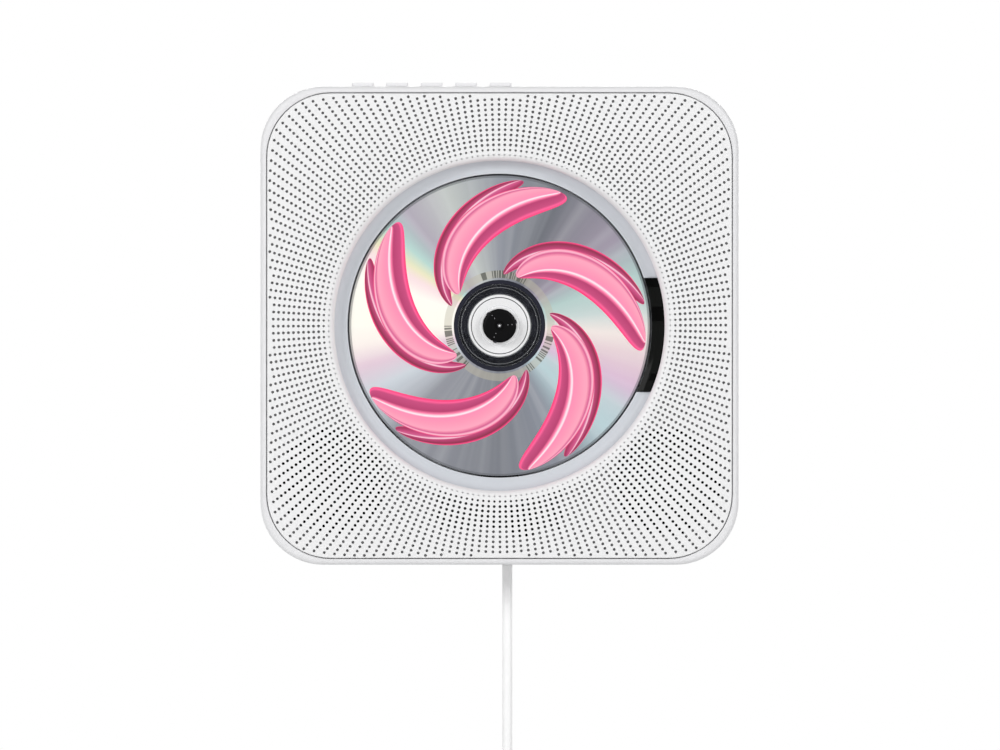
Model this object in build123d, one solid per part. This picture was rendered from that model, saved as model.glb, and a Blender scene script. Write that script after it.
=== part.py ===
from build123d import *
import os
from math import atan2, cos, degrees, hypot, pi, radians, sin, sqrt, tan

# Wall-mounted disc player, in millimetres.
# The wall is the plane Y = 0 and the front faces -Y. +Z is up and +X is right, seen from the front.
# The origin is the centre of the rear face. "Depth" is the distance out from the wall, towards -Y.

# Body
body_size = 190.0
body_corner = 25.0
body_depth = 45.0
wall = 2.3
rim_round = 2.0

# Front panel and its perforation
seam = 0.3
panel_thickness = 2.5
panel_corner = 25.4
panel_chamfer = 0.3
ledge_width = 2.2
ledge_thickness = 1.6
hole_rows = 200
ring_pitch = 2.0
first_ring_radius = 70.4
hole_width = 0.9

# Disc, with its standard sizes
disc_radius = 60.0
disc_thickness = 1.2
disc_bore_radius = 7.5
disc_top_below_front = 7.8

# Well round the disc
disc_edge_gap = 0.75
shelf_above_disc = 0.4
shelf_width = 1.05
cove_radius = 4.0
roll_radius = 3.4
well_wall = 2.0
well_flange_width = 3.8
well_flange_thickness = 1.8
floor_below_disc = 3.5
floor_hole_radius = 14.0

# Display window in the well's slope
window_top = 18.9
window_bottom = -26.2
window_thickness = 2.0
window_gap = 0.15
window_inner_margin = 0.45
light_slot_width = 1.8
light_slot_length = 29.0
module_length = 33.0
module_width = 5.0
module_height = 4.7
module_gap = 0.6
display_board_length = 41.0
display_board_width = 15.0

# Rear cover, wall hooks and screws
cover_depth = 8.0
cover_floor = 2.5
cover_slope = 26.0
lip_width = 1.5
lip_height = 2.0
lip_gap = 0.3
keyhole_spacing = 100.0
keyhole_height = 50.0
keyhole_entry_radius = 4.25
keyhole_slot_width = 4.4
keyhole_slot_length = 9.0
pocket_wall = 1.2
pocket_depth = 3.4
boss_inset = 17.0
boss_rib_length = 12.0
boss_rib_thickness = 2.0
boss_radius = 3.5
boss_length = 16.0
screw_radius = 1.5
screw_head_radius = 2.8
screw_head_height = 1.8
screw_gap = 0.2
screw_sides = 8
screw_length = 16.0
screw_seat = 2.0

# Buttons on the top
button_count = 5
button_first_x = -54.4
button_pitch = 13.7
button_width = 8.7
button_length = 5.0
button_corner = 0.9
button_stand = 1.7
button_centre_depth = 24.0
button_gap = 0.25
button_travel = 0.4
button_flange_margin = 1.0
button_flange_thickness = 1.0
button_rest_gap = 0.1
button_stem = 3.0
button_stem_length = 2.8
press_gap = 0.05
switch_size = 6.0
switch_height = 3.4
switch_plunger = 0.6
board_thickness = 1.6
key_board_width = 14.0
key_board_margin = 7.0
rib_thickness = 2.0
rib_ledge = 3.0
slide_gap = 0.1

# Spindle
shaft_radius = 1.0
shaft_bore_gap = 0.05
press_seat_gap = 0.02
motor_radius = 12.0
motor_height = 11.0
motor_collar_radius = 3.0
motor_collar_height = 0.5
turntable_radius = 17.0
turntable_thickness = 1.8
turntable_clearance = 0.9
centre_ring_radius = 11.9
centre_ring_height = 0.6
collar_radius = 7.35
collar_below_disc_top = 0.2
mat_inner_radius = 12.6
mat_outer_radius = 16.6
mat_height = 0.8
hub_radius = 6.7
hub_above_disc = 3.3
hub_bevel = 1.3
shaft_tip = 0.5
ball_count = 3
ball_radius = 1.5
ball_reach = 7.35
ball_first_angle = 14.0
ball_slot_gap = 0.2
ball_sides = 8

# Disc mechanism behind the well
chassis_half_width = 36.5
chassis_top = 19.0
chassis_bottom = -72.0
chassis_thickness = 2.0
chassis_rim = 4.0
chassis_rim_wall = 1.2
mount_x = 31.5
mount_z = (14.0, -46.0)
mount_post = 5.0
bush_radius = 3.2
bush_sides = 6
bush_height = 2.0
rod_x = 16.0
rod_radius = 1.5
rod_height = 4.5
rod_block_width = 2.0
rod_block_margin = 2.6
rod_top = -11.5
lead_screw_x = 26.0
lead_screw_radius = 1.5
lead_screw_end_gap = 0.3
sled_motor_radius = 3.8
sled_motor_length = 14.0
lens_inner = 24.0
lens_outer = 58.0
lens_radius = 2.2
lens_below_disc = 1.7
sled_half_length = 10.0
sled_half_width = 19.5
sled_thickness = 6.4
sled_above_chassis = 1.3
sled_bore_gap = 0.06
fork_gap = 0.1
follower_gap = 0.4
tower_half_width = 6.5
tower_outer = 2.3
tower_inner = 9.0
tower_below_floor = 0.3
slot_gap = 0.9
slot_end_gap = 0.3

# Speakers, one in each lower corner: each fills the space between the well and the housing
speaker_side_gap = 8.0
speaker_bottom_gap = 13.5
speaker_well_gap = 2.35
speaker_frame_corner = 6.5
speaker_frame_border = 1.7
speaker_sides = 12
speaker_flange_thickness = 1.2
grille_margin = 5.0
speaker_pocket_depth = 1.0
speaker_pocket_gap = 0.5
gasket_thickness = 1.6
basket_depth = 10.5
basket_narrowing = 4.0
basket_strut = 3.0
basket_plate = 1.2
magnet_margin = 1.0
magnet_height = 7.0
cone_gap = 0.4
cone_depth = 6.0
cone_thickness = 0.8
cone_neck_radius = 5.0

# Main board and what is on it
board_width = 128.0
board_height = 48.0
board_side_gap = 2.7
board_boss_gap = 2.5
board_depth = 9.0
board_post = 4.0
usb_below_board_top = 16.0
usb_width = 14.0
usb_height = 6.8
usb_length = 14.2
usb_shell = 0.7
usb_hollow_length = 11.0
usb_tongue = 1.9
usb_tongue_gap = 1.2
usb_tongue_recess = 1.0
aux_below_board_top = 30.0
headphone_below_board_top = 41.0
jack_body = 6.4
jack_length = 11.0
jack_collar_radius = 3.0
jack_bore_radius = 1.8
jack_bore_length = 12.0
port_gap = 0.2
port_recess = 0.3
chip_height = 1.6
capacitor_radius = 4.0
capacitor_height = 9.5
connector_height = 4.0
ribbon_width = 16.0
ribbon_thickness = 0.4
ribbon_run = 6.0
ribbon_landing = 10.0

# Places on the main board, from its lower left corner, with a width and a length where they have their own
chip_places = ((38.0, 16.0, 14.0, 14.0), (64.0, 20.0, 10.0, 10.0), (88.0, 10.0, 8.0, 12.0))
capacitor_places = ((18.0, 20.0), (8.0, 10.0))
wireless_place = (6.0, 32.0, 20.0, 13.0)
connector_places = ((28.0, 2.0, 20.0, 5.0), (56.0, 40.0, 14.0, 5.0), (82.0, 40.0, 8.0, 5.0))

# Infrared receiver behind the perforation
receiver_x = 9.0
receiver_z = -78.0
receiver_width = 6.4
receiver_length = 7.0
receiver_height = 4.6
receiver_lens_radius = 2.4
receiver_lens_height = 1.2
receiver_below_panel = 1.0

# Pull-cord switch
cord_radius = 2.0
cord_x = 3.1
cord_depth = 17.2
pull_travel = 4.0
guide_width = 16.0
guide_length = 14.0
guide_wall = 2.6
guide_floor = 2.5
guide_lid = 1.6
guide_bore_gap = 0.4
guide_neck_radius = 4.4
guide_neck_gap = 0.1
guide_mouth = 6.4
slider_height = 6.0
slider_gap = 0.15
spring_length = 9.0
spring_radius = 3.3
spring_wire = 0.6
spring_turns = 4
spring_sides = 8
lead_hole = 4.0
micro_width = 12.8
micro_length = 4.8
micro_height = 6.2
micro_gap = 0.25

# Cord below the body: it hangs straight, then it is wound into a tied coil
cord_turn_height = -182.5
cord_turn_angle = 36.0
coil_mid_radius = 22.0
coil_bundle_radius = 7.3
coil_facets = 16
bundle_sides = 8
stub_length = 18.0
plug_end_angle = 200.0
plug_stub_length = 24.0
tie_facet = 7
tie_width = 4.0
tie_thickness = 0.8
plug_width = 16.0
plug_thickness = 8.0
plug_length = 34.0
plug_round = 2.0
plug_shell_width = 12.0
plug_shell_thickness = 4.5
plug_shell_length = 12.0
plug_shell_wall = 0.4

# Places that follow from the sizes above
half = body_size / 2
inner_half = half - wall
panel_half = inner_half - seam
panel_back = body_depth - panel_thickness
boss_place = half - boss_inset
disc_top = body_depth - disc_top_below_front
disc_under = disc_top - disc_thickness
shelf = disc_top + shelf_above_disc
well_radius = disc_radius + disc_edge_gap
cove_start = well_radius + shelf_width
cove_end = cove_start + cove_radius
cove_top = shelf + cove_radius
roll_end = cove_end + roll_radius
well_floor = disc_under - floor_below_disc
well_back = well_floor - well_wall
turntable_back = well_floor + turntable_clearance
turntable_top = disc_under - mat_height
hub_top = disc_top + hub_above_disc
motor_back = turntable_back - motor_collar_height - shaft_bore_gap - motor_height
motor_front = motor_back + motor_height
chassis_front = motor_back
chassis_back = chassis_front - chassis_thickness
rod_depth = chassis_front + rod_height
rod_bottom = chassis_bottom + chassis_rim_wall
sled_back = chassis_front + sled_above_chassis
sled_front = sled_back + sled_thickness
tower_top = well_floor - tower_below_floor
board_front = board_depth + board_thickness
board_right = inner_half - board_side_gap
board_left = board_right - board_width
board_top = boss_place - boss_radius - board_boss_gap
board_bottom = board_top - board_height
usb_z = board_top - usb_below_board_top
aux_z = board_top - aux_below_board_top
headphone_z = board_top - headphone_below_board_top
key_board_left = button_first_x - key_board_margin
key_board_right = button_first_x + (button_count - 1) * button_pitch + key_board_margin
button_flange_top = inner_half - button_rest_gap
button_stem_end = button_flange_top - button_flange_thickness - button_stem_length
switch_top = button_stem_end - button_travel - press_gap
key_board_top = switch_top - switch_plunger - switch_height
key_board_bottom = key_board_top - board_thickness
guide_bottom = -inner_half
channel_bottom = guide_bottom + guide_floor
slider_bottom = channel_bottom + spring_length
slider_top = slider_bottom + slider_height
guide_lid_bottom = slider_top + slider_gap
guide_top = guide_lid_bottom + guide_lid
micro_depth = chassis_back - micro_gap - micro_length / 2
well_flange_radius = cove_end + well_flange_width
speaker_reach_x = inner_half - speaker_side_gap + speaker_frame_corner / 2
speaker_reach_z = inner_half - speaker_bottom_gap + speaker_frame_corner / 2
speaker_near = sqrt(2 * (well_flange_radius + speaker_well_gap) ** 2 - (speaker_reach_x - speaker_reach_z) ** 2)
speaker_frame_half = (speaker_reach_x + speaker_reach_z - speaker_near) / 4
speaker_x = inner_half - speaker_side_gap - speaker_frame_half
speaker_z = -(inner_half - speaker_bottom_gap - speaker_frame_half)
speaker_opening_radius = speaker_frame_half - speaker_frame_border
grille_zone_radius = speaker_opening_radius - grille_margin
basket_half = speaker_opening_radius - basket_narrowing
magnet_radius = basket_half + magnet_margin
speaker_pocket_front = panel_back + speaker_pocket_depth
speaker_front = speaker_pocket_front - gasket_thickness
basket_back = speaker_front - speaker_flange_thickness - basket_depth
receiver_front = panel_back - receiver_below_panel
receiver_back = receiver_front - receiver_height


def facing(depth):
    """Plane parallel to the wall at a depth, facing the room: local x is X and local y is Z."""
    return Plane(origin=(0, -depth, 0), x_dir=(1, 0, 0), z_dir=(0, -1, 0))


def facing_wall(depth):
    """Plane parallel to the wall at a depth, facing the wall: local x is X and local y is -Z."""
    return Plane(origin=(0, -depth, 0), x_dir=(1, 0, 0), z_dir=(0, 1, 0))


def slab(outline, back, front):
    return extrude(facing(back) * outline, amount=front - back)


def block(left, right, back, front, bottom, top):
    size = (right - left, front - back, top - bottom)
    return Pos((left + right) / 2, -(back + front) / 2, (bottom + top) / 2) * Box(*size)


def tapered(outline, front, back, slope):
    """Slab that narrows towards the wall, from an outline drawn at its front and seen from the wall."""
    return facing_wall(front) * extrude(outline, amount=front - back, taper=slope)


def round_bar(x, z, radius, back, front):
    return slab(Pos(x, z) * Circle(radius), back, front)


def turned(profile):
    """Solid turned about the disc's axis from a face drawn with x as radius and y as minus depth."""
    return revolve(profile, Axis.Y)


def turned_outline(*curves):
    return turned(make_face(curves))


def turned_points(points):
    return turned(make_face(Polyline(*[(radius, -depth) for radius, depth in points], close=True)))


def upright_bar(x, depth, radius, bottom, top):
    return Pos(x, -depth, (bottom + top) / 2) * Cylinder(radius, top - bottom)


def body_outline(half_size, corner):
    return RectangleRounded(2 * half_size, 2 * half_size, corner)


def chamfered_outline(width, length, cut):
    outline = Rectangle(width, length)
    return chamfer(outline.vertices(), cut)


def speaker_outline(margin):
    side = 2 * (speaker_frame_half + margin)
    return chamfered_outline(side, side, speaker_frame_corner)


def speaker_opening():
    return RegularPolygon(speaker_opening_radius, speaker_sides)


def grille_holes(sign):
    """Square holes of the radial perforation in front of one speaker."""
    reach = hypot(speaker_x, speaker_z) + grille_zone_radius
    holes = []
    for row in range(hole_rows):
        angle = 360 / hole_rows * row
        for ring in range(int((reach - first_ring_radius) / ring_pitch) + 1):
            radius = first_ring_radius + ring * ring_pitch
            x, z = radius * cos(radians(angle)), radius * sin(radians(angle))
            if hypot(x - sign * speaker_x, z - speaker_z) <= grille_zone_radius:
                hole = Pos(x, z) * Rot(0, 0, angle) * Rectangle(hole_width, hole_width)
                holes.append(slab(hole, panel_back, body_depth))
    return holes


def build_front_panel():
    plate = slab(body_outline(panel_half, panel_corner), panel_back, body_depth)
    plate = chamfer(plate.faces().sort_by(Axis.Y)[0].edges(), panel_chamfer)
    collar = round_bar(0, 0, well_flange_radius, cove_top, panel_back)
    opening = turned_outline(
        Line((0, -cove_top), (cove_end, -cove_top)),
        CenterArc((roll_end, -cove_top), roll_radius, 180, 90),
        Line((roll_end, -body_depth), (0, -body_depth)),
        Line((0, -body_depth), (0, -cove_top)),
    )
    panel = plate + collar - opening
    for sign in (-1, 1):
        pocket = Pos(sign * speaker_x, speaker_z) * speaker_outline(speaker_pocket_gap)
        panel -= slab(pocket, panel_back, speaker_pocket_front)
        panel -= grille_holes(sign)
    return panel


def window_band(margin, low, high):
    """Sector of the well's slope on the right, with a margin round the window's outline."""
    outer = cove_end + well_wall
    return block(0, outer, low, high, window_bottom - margin, window_top + margin)


def build_display_window():
    inner = well_radius + window_inner_margin
    outer = cove_end - window_gap
    ring = turned_points([
        (inner, shelf),
        (outer, cove_top - window_gap),
        (outer, cove_top - window_gap - window_thickness),
        (inner, shelf - window_thickness),
    ])
    return ring & window_band(0, well_back, body_depth)


def build_disc_well():
    flange_back = cove_top - well_flange_thickness
    outside = well_radius + well_wall
    back_line = [
        (cove_end, -cove_top),
        (well_flange_radius, -cove_top),
        (well_flange_radius, -flange_back),
        (cove_end + well_wall, -flange_back),
        (outside, -(shelf - well_wall)),
        (outside, -well_back),
        (floor_hole_radius, -well_back),
        (floor_hole_radius, -well_floor),
        (well_radius, -well_floor),
        (well_radius, -shelf),
        (cove_start, -shelf),
    ]
    well = turned_outline(
        Polyline(*back_line),
        CenterArc((cove_start, -cove_top), cove_radius, 0, 90),
    )
    inner = well_radius + window_inner_margin - window_gap
    window_seat = turned_points([
        (inner, body_depth),
        (cove_end, body_depth),
        (cove_end, cove_top - window_thickness - 2 * window_gap),
        (inner, shelf - window_thickness - window_gap),
    ])
    well -= window_seat & window_band(window_gap, well_back, body_depth)
    light_left = outside + module_gap
    middle = (window_top + window_bottom) / 2
    well -= block(
        light_left, light_left + light_slot_width, well_back, body_depth,
        middle - light_slot_length / 2, middle + light_slot_length / 2,
    )
    slot_half = tower_half_width + slot_gap
    slot_end = -(lens_outer + tower_outer + slot_end_gap)
    well -= block(-slot_half, slot_half, well_back, well_floor, slot_end, 0)
    for x in (-mount_x, mount_x):
        for z in mount_z:
            post = mount_post / 2
            well += block(x - post, x + post, chassis_front + bush_height, well_back, z - post, z + post)
    return well


def build_main_housing():
    shell = slab(body_outline(half, body_corner), cover_depth, body_depth)
    front_edges = shell.faces().sort_by(Axis.Y)[0].edges()
    shell = fillet(front_edges, rim_round)
    opening_corner = panel_corner + seam
    shell -= slab(body_outline(inner_half, opening_corner), cover_depth, body_depth)
    ledge = body_outline(inner_half, opening_corner)
    ledge -= body_outline(inner_half - ledge_width, opening_corner - ledge_width)
    shell += slab(ledge, panel_back - ledge_thickness, panel_back)
    shell += [housing_boss(angle) for angle in (45, 135, 225, 315)]
    for index in range(button_count):
        opening = Pos(button_x(index), -button_centre_depth) * chamfered_outline(
            button_width + 2 * button_gap, button_length + 2 * button_gap, button_corner
        )
        shell -= Pos(0, 0, inner_half) * extrude(opening, amount=wall)
    rib_back = button_centre_depth - key_board_width / 2
    rib_front = button_centre_depth + key_board_width / 2
    rib_bottom = key_board_bottom - rib_thickness
    for inner, side in ((key_board_left, -1), (key_board_right, 1)):
        face = inner + side * slide_gap
        outer = face + side * rib_thickness
        ledge_end = inner - side * rib_ledge
        shell += block(min(face, outer), max(face, outer), rib_back, rib_front, rib_bottom, inner_half)
        shell += block(
            min(outer, ledge_end), max(outer, ledge_end), rib_back, rib_front, rib_bottom, key_board_bottom
        )
    shell += block(
        receiver_x - receiver_width / 2, receiver_x + receiver_width / 2,
        receiver_back - rib_thickness, receiver_back,
        -inner_half, receiver_z + receiver_length / 2,
    )
    usb_centre = board_front + usb_height / 2
    shell -= block(
        inner_half, half, usb_centre - usb_height / 2 - port_gap, usb_centre + usb_height / 2 + port_gap,
        usb_z - usb_width / 2 - port_gap, usb_z + usb_width / 2 + port_gap,
    )
    for z in (aux_z, headphone_z):
        shell -= cross_bar(board_front + jack_body / 2, z, jack_collar_radius + port_gap, inner_half, half)
    shell -= upright_bar(cord_x, cord_depth, guide_neck_radius + guide_neck_gap, -half, -inner_half)
    return shell


def screw_bar(x, z, radius, back, front):
    """Bar along the screw's axis with few sides, turned to face the body's corner."""
    outline = Pos(x, z) * Rot(0, 0, degrees(atan2(z, x))) * RegularPolygon(radius, screw_sides)
    return slab(outline, back, front)


def housing_boss(angle):
    """Screw boss in one corner, tied to the corner wall by a rib and bored for its screw."""
    reach = boss_place * sqrt(2)
    start = cover_depth + lip_height
    rib = Pos(reach + boss_rib_length / 2, 0) * Rectangle(boss_rib_length, boss_rib_thickness)
    outline = Pos(reach, 0) * RegularPolygon(boss_radius, screw_sides) + rib
    outline -= Pos(reach, 0) * RegularPolygon(screw_radius + press_seat_gap, screw_sides)
    return slab(Rot(0, 0, angle) * outline, start, start + boss_length)


def cross_bar(depth, z, radius, left, right):
    """Round bar along X."""
    return Pos((left + right) / 2, -depth, z) * Rot(0, 90, 0) * Cylinder(radius, right - left)


def button_x(index):
    return button_first_x + index * button_pitch


def build_rear_cover():
    lip_half = inner_half - lip_gap
    lip_corner = panel_corner + seam - lip_gap
    inside = body_outline(lip_half - lip_width, lip_corner - lip_width)
    cover = tapered(body_outline(half, body_corner), cover_depth, 0, cover_slope)
    cover -= tapered(inside, cover_depth, cover_floor, cover_slope)
    lip = body_outline(lip_half, lip_corner) - inside
    cover += slab(lip, cover_depth, cover_depth + lip_height)
    for x in (-boss_place, boss_place):
        for z in (-boss_place, boss_place):
            cover += screw_bar(x, z, boss_radius, cover_floor, cover_depth + lip_height)
            cover -= screw_bar(x, z, screw_radius + screw_gap, 0, cover_depth + lip_height)
            cover -= screw_bar(x, z, screw_head_radius + screw_gap, 0, screw_seat)
    for x in (board_left, board_right - board_post):
        for z in (board_bottom, board_top - board_post):
            cover += block(x, x + board_post, cover_floor, board_depth, z, z + board_post)
    for x in (-keyhole_spacing / 2, keyhole_spacing / 2):
        side = keyhole_entry_radius + pocket_wall + screw_gap
        low = keyhole_height - side
        high = keyhole_height + keyhole_slot_length + keyhole_slot_width / 2 + 2 * pocket_wall
        inner_front = cover_floor + pocket_depth
        cover += block(x - side, x + side, cover_floor, inner_front + pocket_wall, low, high)
        cover -= block(
            x - side + pocket_wall, x + side - pocket_wall, cover_floor, inner_front,
            low + pocket_wall, high - pocket_wall,
        )
        cover -= slab(Pos(x, keyhole_height) * keyhole_outline(), 0, cover_floor)
    return cover


def keyhole_outline():
    slot = Pos(0, keyhole_slot_length / 2) * Rectangle(keyhole_slot_width, keyhole_slot_length)
    return Circle(keyhole_entry_radius) + slot + Pos(0, keyhole_slot_length) * Circle(keyhole_slot_width / 2)


def build_cover_screws():
    screws = []
    for x in (-boss_place, boss_place):
        for z in (-boss_place, boss_place):
            head = screw_bar(x, z, screw_head_radius, screw_seat - screw_head_height, screw_seat)
            screws.append(head + screw_bar(x, z, screw_radius, screw_seat, screw_seat + screw_length))
    return Compound(children=screws)


def build_button(index):
    x = button_x(index)
    cap = chamfered_outline(button_width, button_length, button_corner)
    flange = Rectangle(button_width + 2 * button_flange_margin, button_length + 2 * button_flange_margin)
    flange_bottom = button_flange_top - button_flange_thickness
    stem = Rectangle(button_stem, button_stem)
    centre = Pos(x, -button_centre_depth)
    cap_height = half + button_stand - button_flange_top
    button = centre * Pos(0, 0, button_flange_top) * extrude(cap, amount=cap_height)
    button += centre * Pos(0, 0, flange_bottom) * extrude(flange, amount=button_flange_thickness)
    return button + centre * Pos(0, 0, button_stem_end) * extrude(stem, amount=button_stem_length)


def build_key_board():
    return block(
        key_board_left, key_board_right,
        button_centre_depth - key_board_width / 2, button_centre_depth + key_board_width / 2,
        key_board_bottom, key_board_top,
    )


def build_key_switches():
    switches = []
    for index in range(button_count):
        centre = Pos(button_x(index), -button_centre_depth, key_board_top)
        body = Pos(0, 0, switch_height / 2) * Box(switch_size, switch_size, switch_height)
        plunger = Pos(0, 0, switch_height + switch_plunger / 2) * Box(button_stem, button_stem, switch_plunger)
        switches.append(centre * (body + plunger))
    return Compound(children=switches)


def build_display_board():
    middle = (window_top + window_bottom) / 2
    right = well_radius + well_wall + module_gap + module_width + module_gap
    return block(
        right - display_board_width, right, well_back - board_thickness, well_back,
        middle - display_board_length / 2, middle + display_board_length / 2,
    )


def build_display_module():
    middle = (window_top + window_bottom) / 2
    left = well_radius + well_wall + module_gap
    return block(
        left, left + module_width, well_back, well_back + module_height,
        middle - module_length / 2, middle + module_length / 2,
    )


def build_infrared_receiver():
    body = block(
        receiver_x - receiver_width / 2, receiver_x + receiver_width / 2,
        receiver_back, receiver_front - receiver_lens_height,
        receiver_z - receiver_length / 2, receiver_z + receiver_length / 2,
    )
    return body + round_bar(receiver_x, receiver_z, receiver_lens_radius, receiver_back, receiver_front)


def build_chassis():
    plate = block(
        -chassis_half_width, chassis_half_width, chassis_back, chassis_front + chassis_rim,
        chassis_bottom, chassis_top,
    )
    plate -= block(
        -chassis_half_width + chassis_rim_wall, chassis_half_width - chassis_rim_wall,
        chassis_front, chassis_front + chassis_rim,
        rod_bottom, chassis_top - chassis_rim_wall,
    )
    front = rod_depth + rod_radius
    side = rod_radius + rod_block_margin
    for bottom in (rod_bottom, rod_top - rod_block_width):
        top = bottom + rod_block_width
        plate += block(-rod_x - side, -rod_x + side, chassis_front, front, bottom, top)
        plate += block(rod_x - side, lead_screw_x + side, chassis_front, front, bottom, top)
        for x, gap in ((-rod_x, 0), (rod_x, 0), (lead_screw_x, lead_screw_end_gap)):
            reach = rod_radius + gap
            plate -= block(x - reach, x + reach, rod_depth - reach, front, bottom, top)
    return plate


def build_isolation_bushes():
    bushes = []
    for x in (-mount_x, mount_x):
        for z in mount_z:
            outline = Pos(x, z) * RegularPolygon(bush_radius, bush_sides)
            bushes.append(slab(outline, chassis_front, chassis_front + bush_height))
    return Compound(children=bushes)


def build_spindle_motor():
    motor = round_bar(0, 0, motor_radius, motor_back, motor_front)
    motor += round_bar(0, 0, motor_collar_radius, motor_front, motor_front + motor_collar_height)
    return motor - round_bar(0, 0, shaft_radius + shaft_bore_gap, motor_back, turntable_back)


def build_spindle_shaft():
    return round_bar(0, 0, shaft_radius, motor_back, hub_top + shaft_tip)


def build_turntable():
    bore = shaft_radius + press_seat_gap
    ring_top = turntable_top + centre_ring_height
    collar_inner = hub_radius + press_seat_gap
    collar_top = disc_top - collar_below_disc_top
    flange_back = turntable_top - turntable_thickness
    return turned_points([
        (bore, flange_back),
        (turntable_radius, flange_back),
        (turntable_radius, turntable_top),
        (centre_ring_radius, turntable_top),
        (centre_ring_radius, ring_top),
        (collar_radius, ring_top),
        (collar_radius, collar_top),
        (collar_inner, collar_top),
        (collar_inner, ring_top),
        (bore, ring_top),
    ])


def build_disc_mat():
    ring = Circle(mat_outer_radius) - Circle(mat_inner_radius)
    return slab(ring, turntable_top, disc_under)


def build_spindle_hub():
    bore = shaft_radius + press_seat_gap
    base = turntable_top + centre_ring_height
    hub = turned_points([
        (bore, base),
        (hub_radius, base),
        (hub_radius, hub_top - hub_bevel),
        (hub_radius - hub_bevel, hub_top),
        (bore, hub_top),
    ])
    half_slot = ball_radius + ball_slot_gap
    inner = ball_reach - 2 * ball_radius - ball_slot_gap
    for angle in ball_angles():
        slot = Pos((inner + hub_radius + half_slot) / 2, 0) * Rectangle(
            hub_radius + half_slot - inner, 2 * half_slot
        )
        hub -= slab(Rot(0, 0, angle) * slot, disc_top - ball_slot_gap, hub_top)
    return hub


def ball_angles():
    return [ball_first_angle + 360 / ball_count * index for index in range(ball_count)]


def build_disc_balls():
    radius = ball_reach - ball_radius
    balls = []
    for angle in ball_angles():
        x, z = radius * cos(radians(angle)), radius * sin(radians(angle))
        balls.append(Pos(x, -(disc_top + ball_radius), z) * build_ball())
    return Compound(children=balls)


def build_ball():
    """Ball with few faces: an eight-sided band closed by a taper on each side."""
    outline = RegularPolygon(ball_radius, ball_sides)
    band = ball_radius * sin(pi / ball_sides)
    ball = extrude(outline, amount=band, both=True)
    cap = Pos(0, 0, band) * extrude(outline, amount=ball_radius - band, taper=45)
    return ball + cap + cap.mirror(Plane.XY)


def build_compact_disc():
    return slab(Circle(disc_radius) - Circle(disc_bore_radius), disc_under, disc_top)


def build_sled_motor():
    return upright_bar(lead_screw_x, rod_depth, sled_motor_radius, rod_top, rod_top + sled_motor_length)


def build_lead_screw():
    bottom = rod_bottom + lead_screw_end_gap
    return upright_bar(lead_screw_x, rod_depth, lead_screw_radius, bottom, rod_top - lead_screw_end_gap)


def build_guide_rods():
    return Compound(children=[
        upright_bar(x, rod_depth, rod_radius, rod_bottom, rod_top) for x in (-rod_x, rod_x)
    ])


def build_pickup_sled():
    top = -lens_inner + sled_half_length
    bottom = -lens_inner - sled_half_length
    sled = block(-sled_half_width, sled_half_width, sled_back, sled_front, bottom, top)
    sled += block(
        -tower_half_width, tower_half_width, sled_front, tower_top,
        -lens_inner - tower_outer, -lens_inner + tower_inner,
    )
    finger_end = lead_screw_x - lead_screw_radius - follower_gap
    finger = rod_radius / 2
    sled += block(
        sled_half_width, finger_end, rod_depth - finger, rod_depth + finger,
        -lens_inner - sled_half_length / 2, -lens_inner + sled_half_length / 2,
    )
    sled -= upright_bar(-rod_x, rod_depth, rod_radius + sled_bore_gap, bottom, top)
    fork = rod_radius + fork_gap
    return sled - block(rod_x - fork, rod_x + fork, rod_depth - fork, sled_front, bottom, top)


def build_pickup_lens():
    return round_bar(0, -lens_inner, lens_radius, tower_top, disc_under - lens_below_disc)


def build_speaker_frame(sign):
    centre = Pos(sign * speaker_x, speaker_z)
    flange = centre * (speaker_outline(0) - speaker_opening())
    flange_back = speaker_front - speaker_flange_thickness
    frame = slab(flange, flange_back, speaker_front)
    slope = degrees(atan2(speaker_opening_radius + basket_plate - basket_half, basket_depth))
    outer = speaker_opening_radius + basket_plate
    inner = speaker_opening_radius
    place = Pos(sign * speaker_x, -speaker_z)
    outside = place * chamfered_outline(2 * outer, 2 * outer, speaker_frame_corner)
    inside = place * chamfered_outline(2 * inner, 2 * inner, speaker_frame_corner)
    basket = tapered(outside, flange_back, basket_back, slope)
    basket -= tapered(inside, flange_back, basket_back + basket_plate, slope)
    x, z = sign * speaker_x, speaker_z
    window = basket_half - basket_strut
    low, high = basket_back + 2 * basket_plate, flange_back - basket_plate
    basket -= block(x - outer, x + outer, low, high, z - window, z + window)
    basket -= block(x - window, x + window, low, high, z - outer, z + outer)
    return frame + basket


def build_speaker_magnet(sign):
    return round_bar(sign * speaker_x, speaker_z, magnet_radius, basket_back - magnet_height, basket_back)


def build_speaker_cones():
    rim = speaker_opening_radius - cone_gap
    front = speaker_front - cone_gap
    slope = degrees(atan2(rim - cone_neck_radius, cone_depth))
    cones = []
    back = front - cone_thickness
    for sign in (-1, 1):
        outline = Pos(sign * speaker_x, -speaker_z) * RegularPolygon(rim, speaker_sides)
        cone = tapered(outline, back, back - cone_depth, slope)
        cone += slab(Pos(sign * speaker_x, speaker_z) * RegularPolygon(rim, speaker_sides), back, front)
        cones.append(cone - tapered(outline, front, front - cone_depth, slope))
    return Compound(children=cones)


def build_speaker_gaskets():
    outline = speaker_outline(0) - speaker_opening()
    return Compound(children=[
        slab(Pos(sign * speaker_x, speaker_z) * outline, speaker_front, speaker_pocket_front)
        for sign in (-1, 1)
    ])


def build_main_board():
    return block(board_left, board_right, board_depth, board_front, board_bottom, board_top)


def on_board(place, height):
    """Block of a height that stands on the main board at one of the places listed above."""
    x, z, width, length = place
    left, bottom = board_left + x, board_bottom + z
    return block(left, left + width, board_front, board_front + height, bottom, bottom + length)


def build_board_chips():
    return Compound(children=[on_board(place, chip_height) for place in chip_places])


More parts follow.
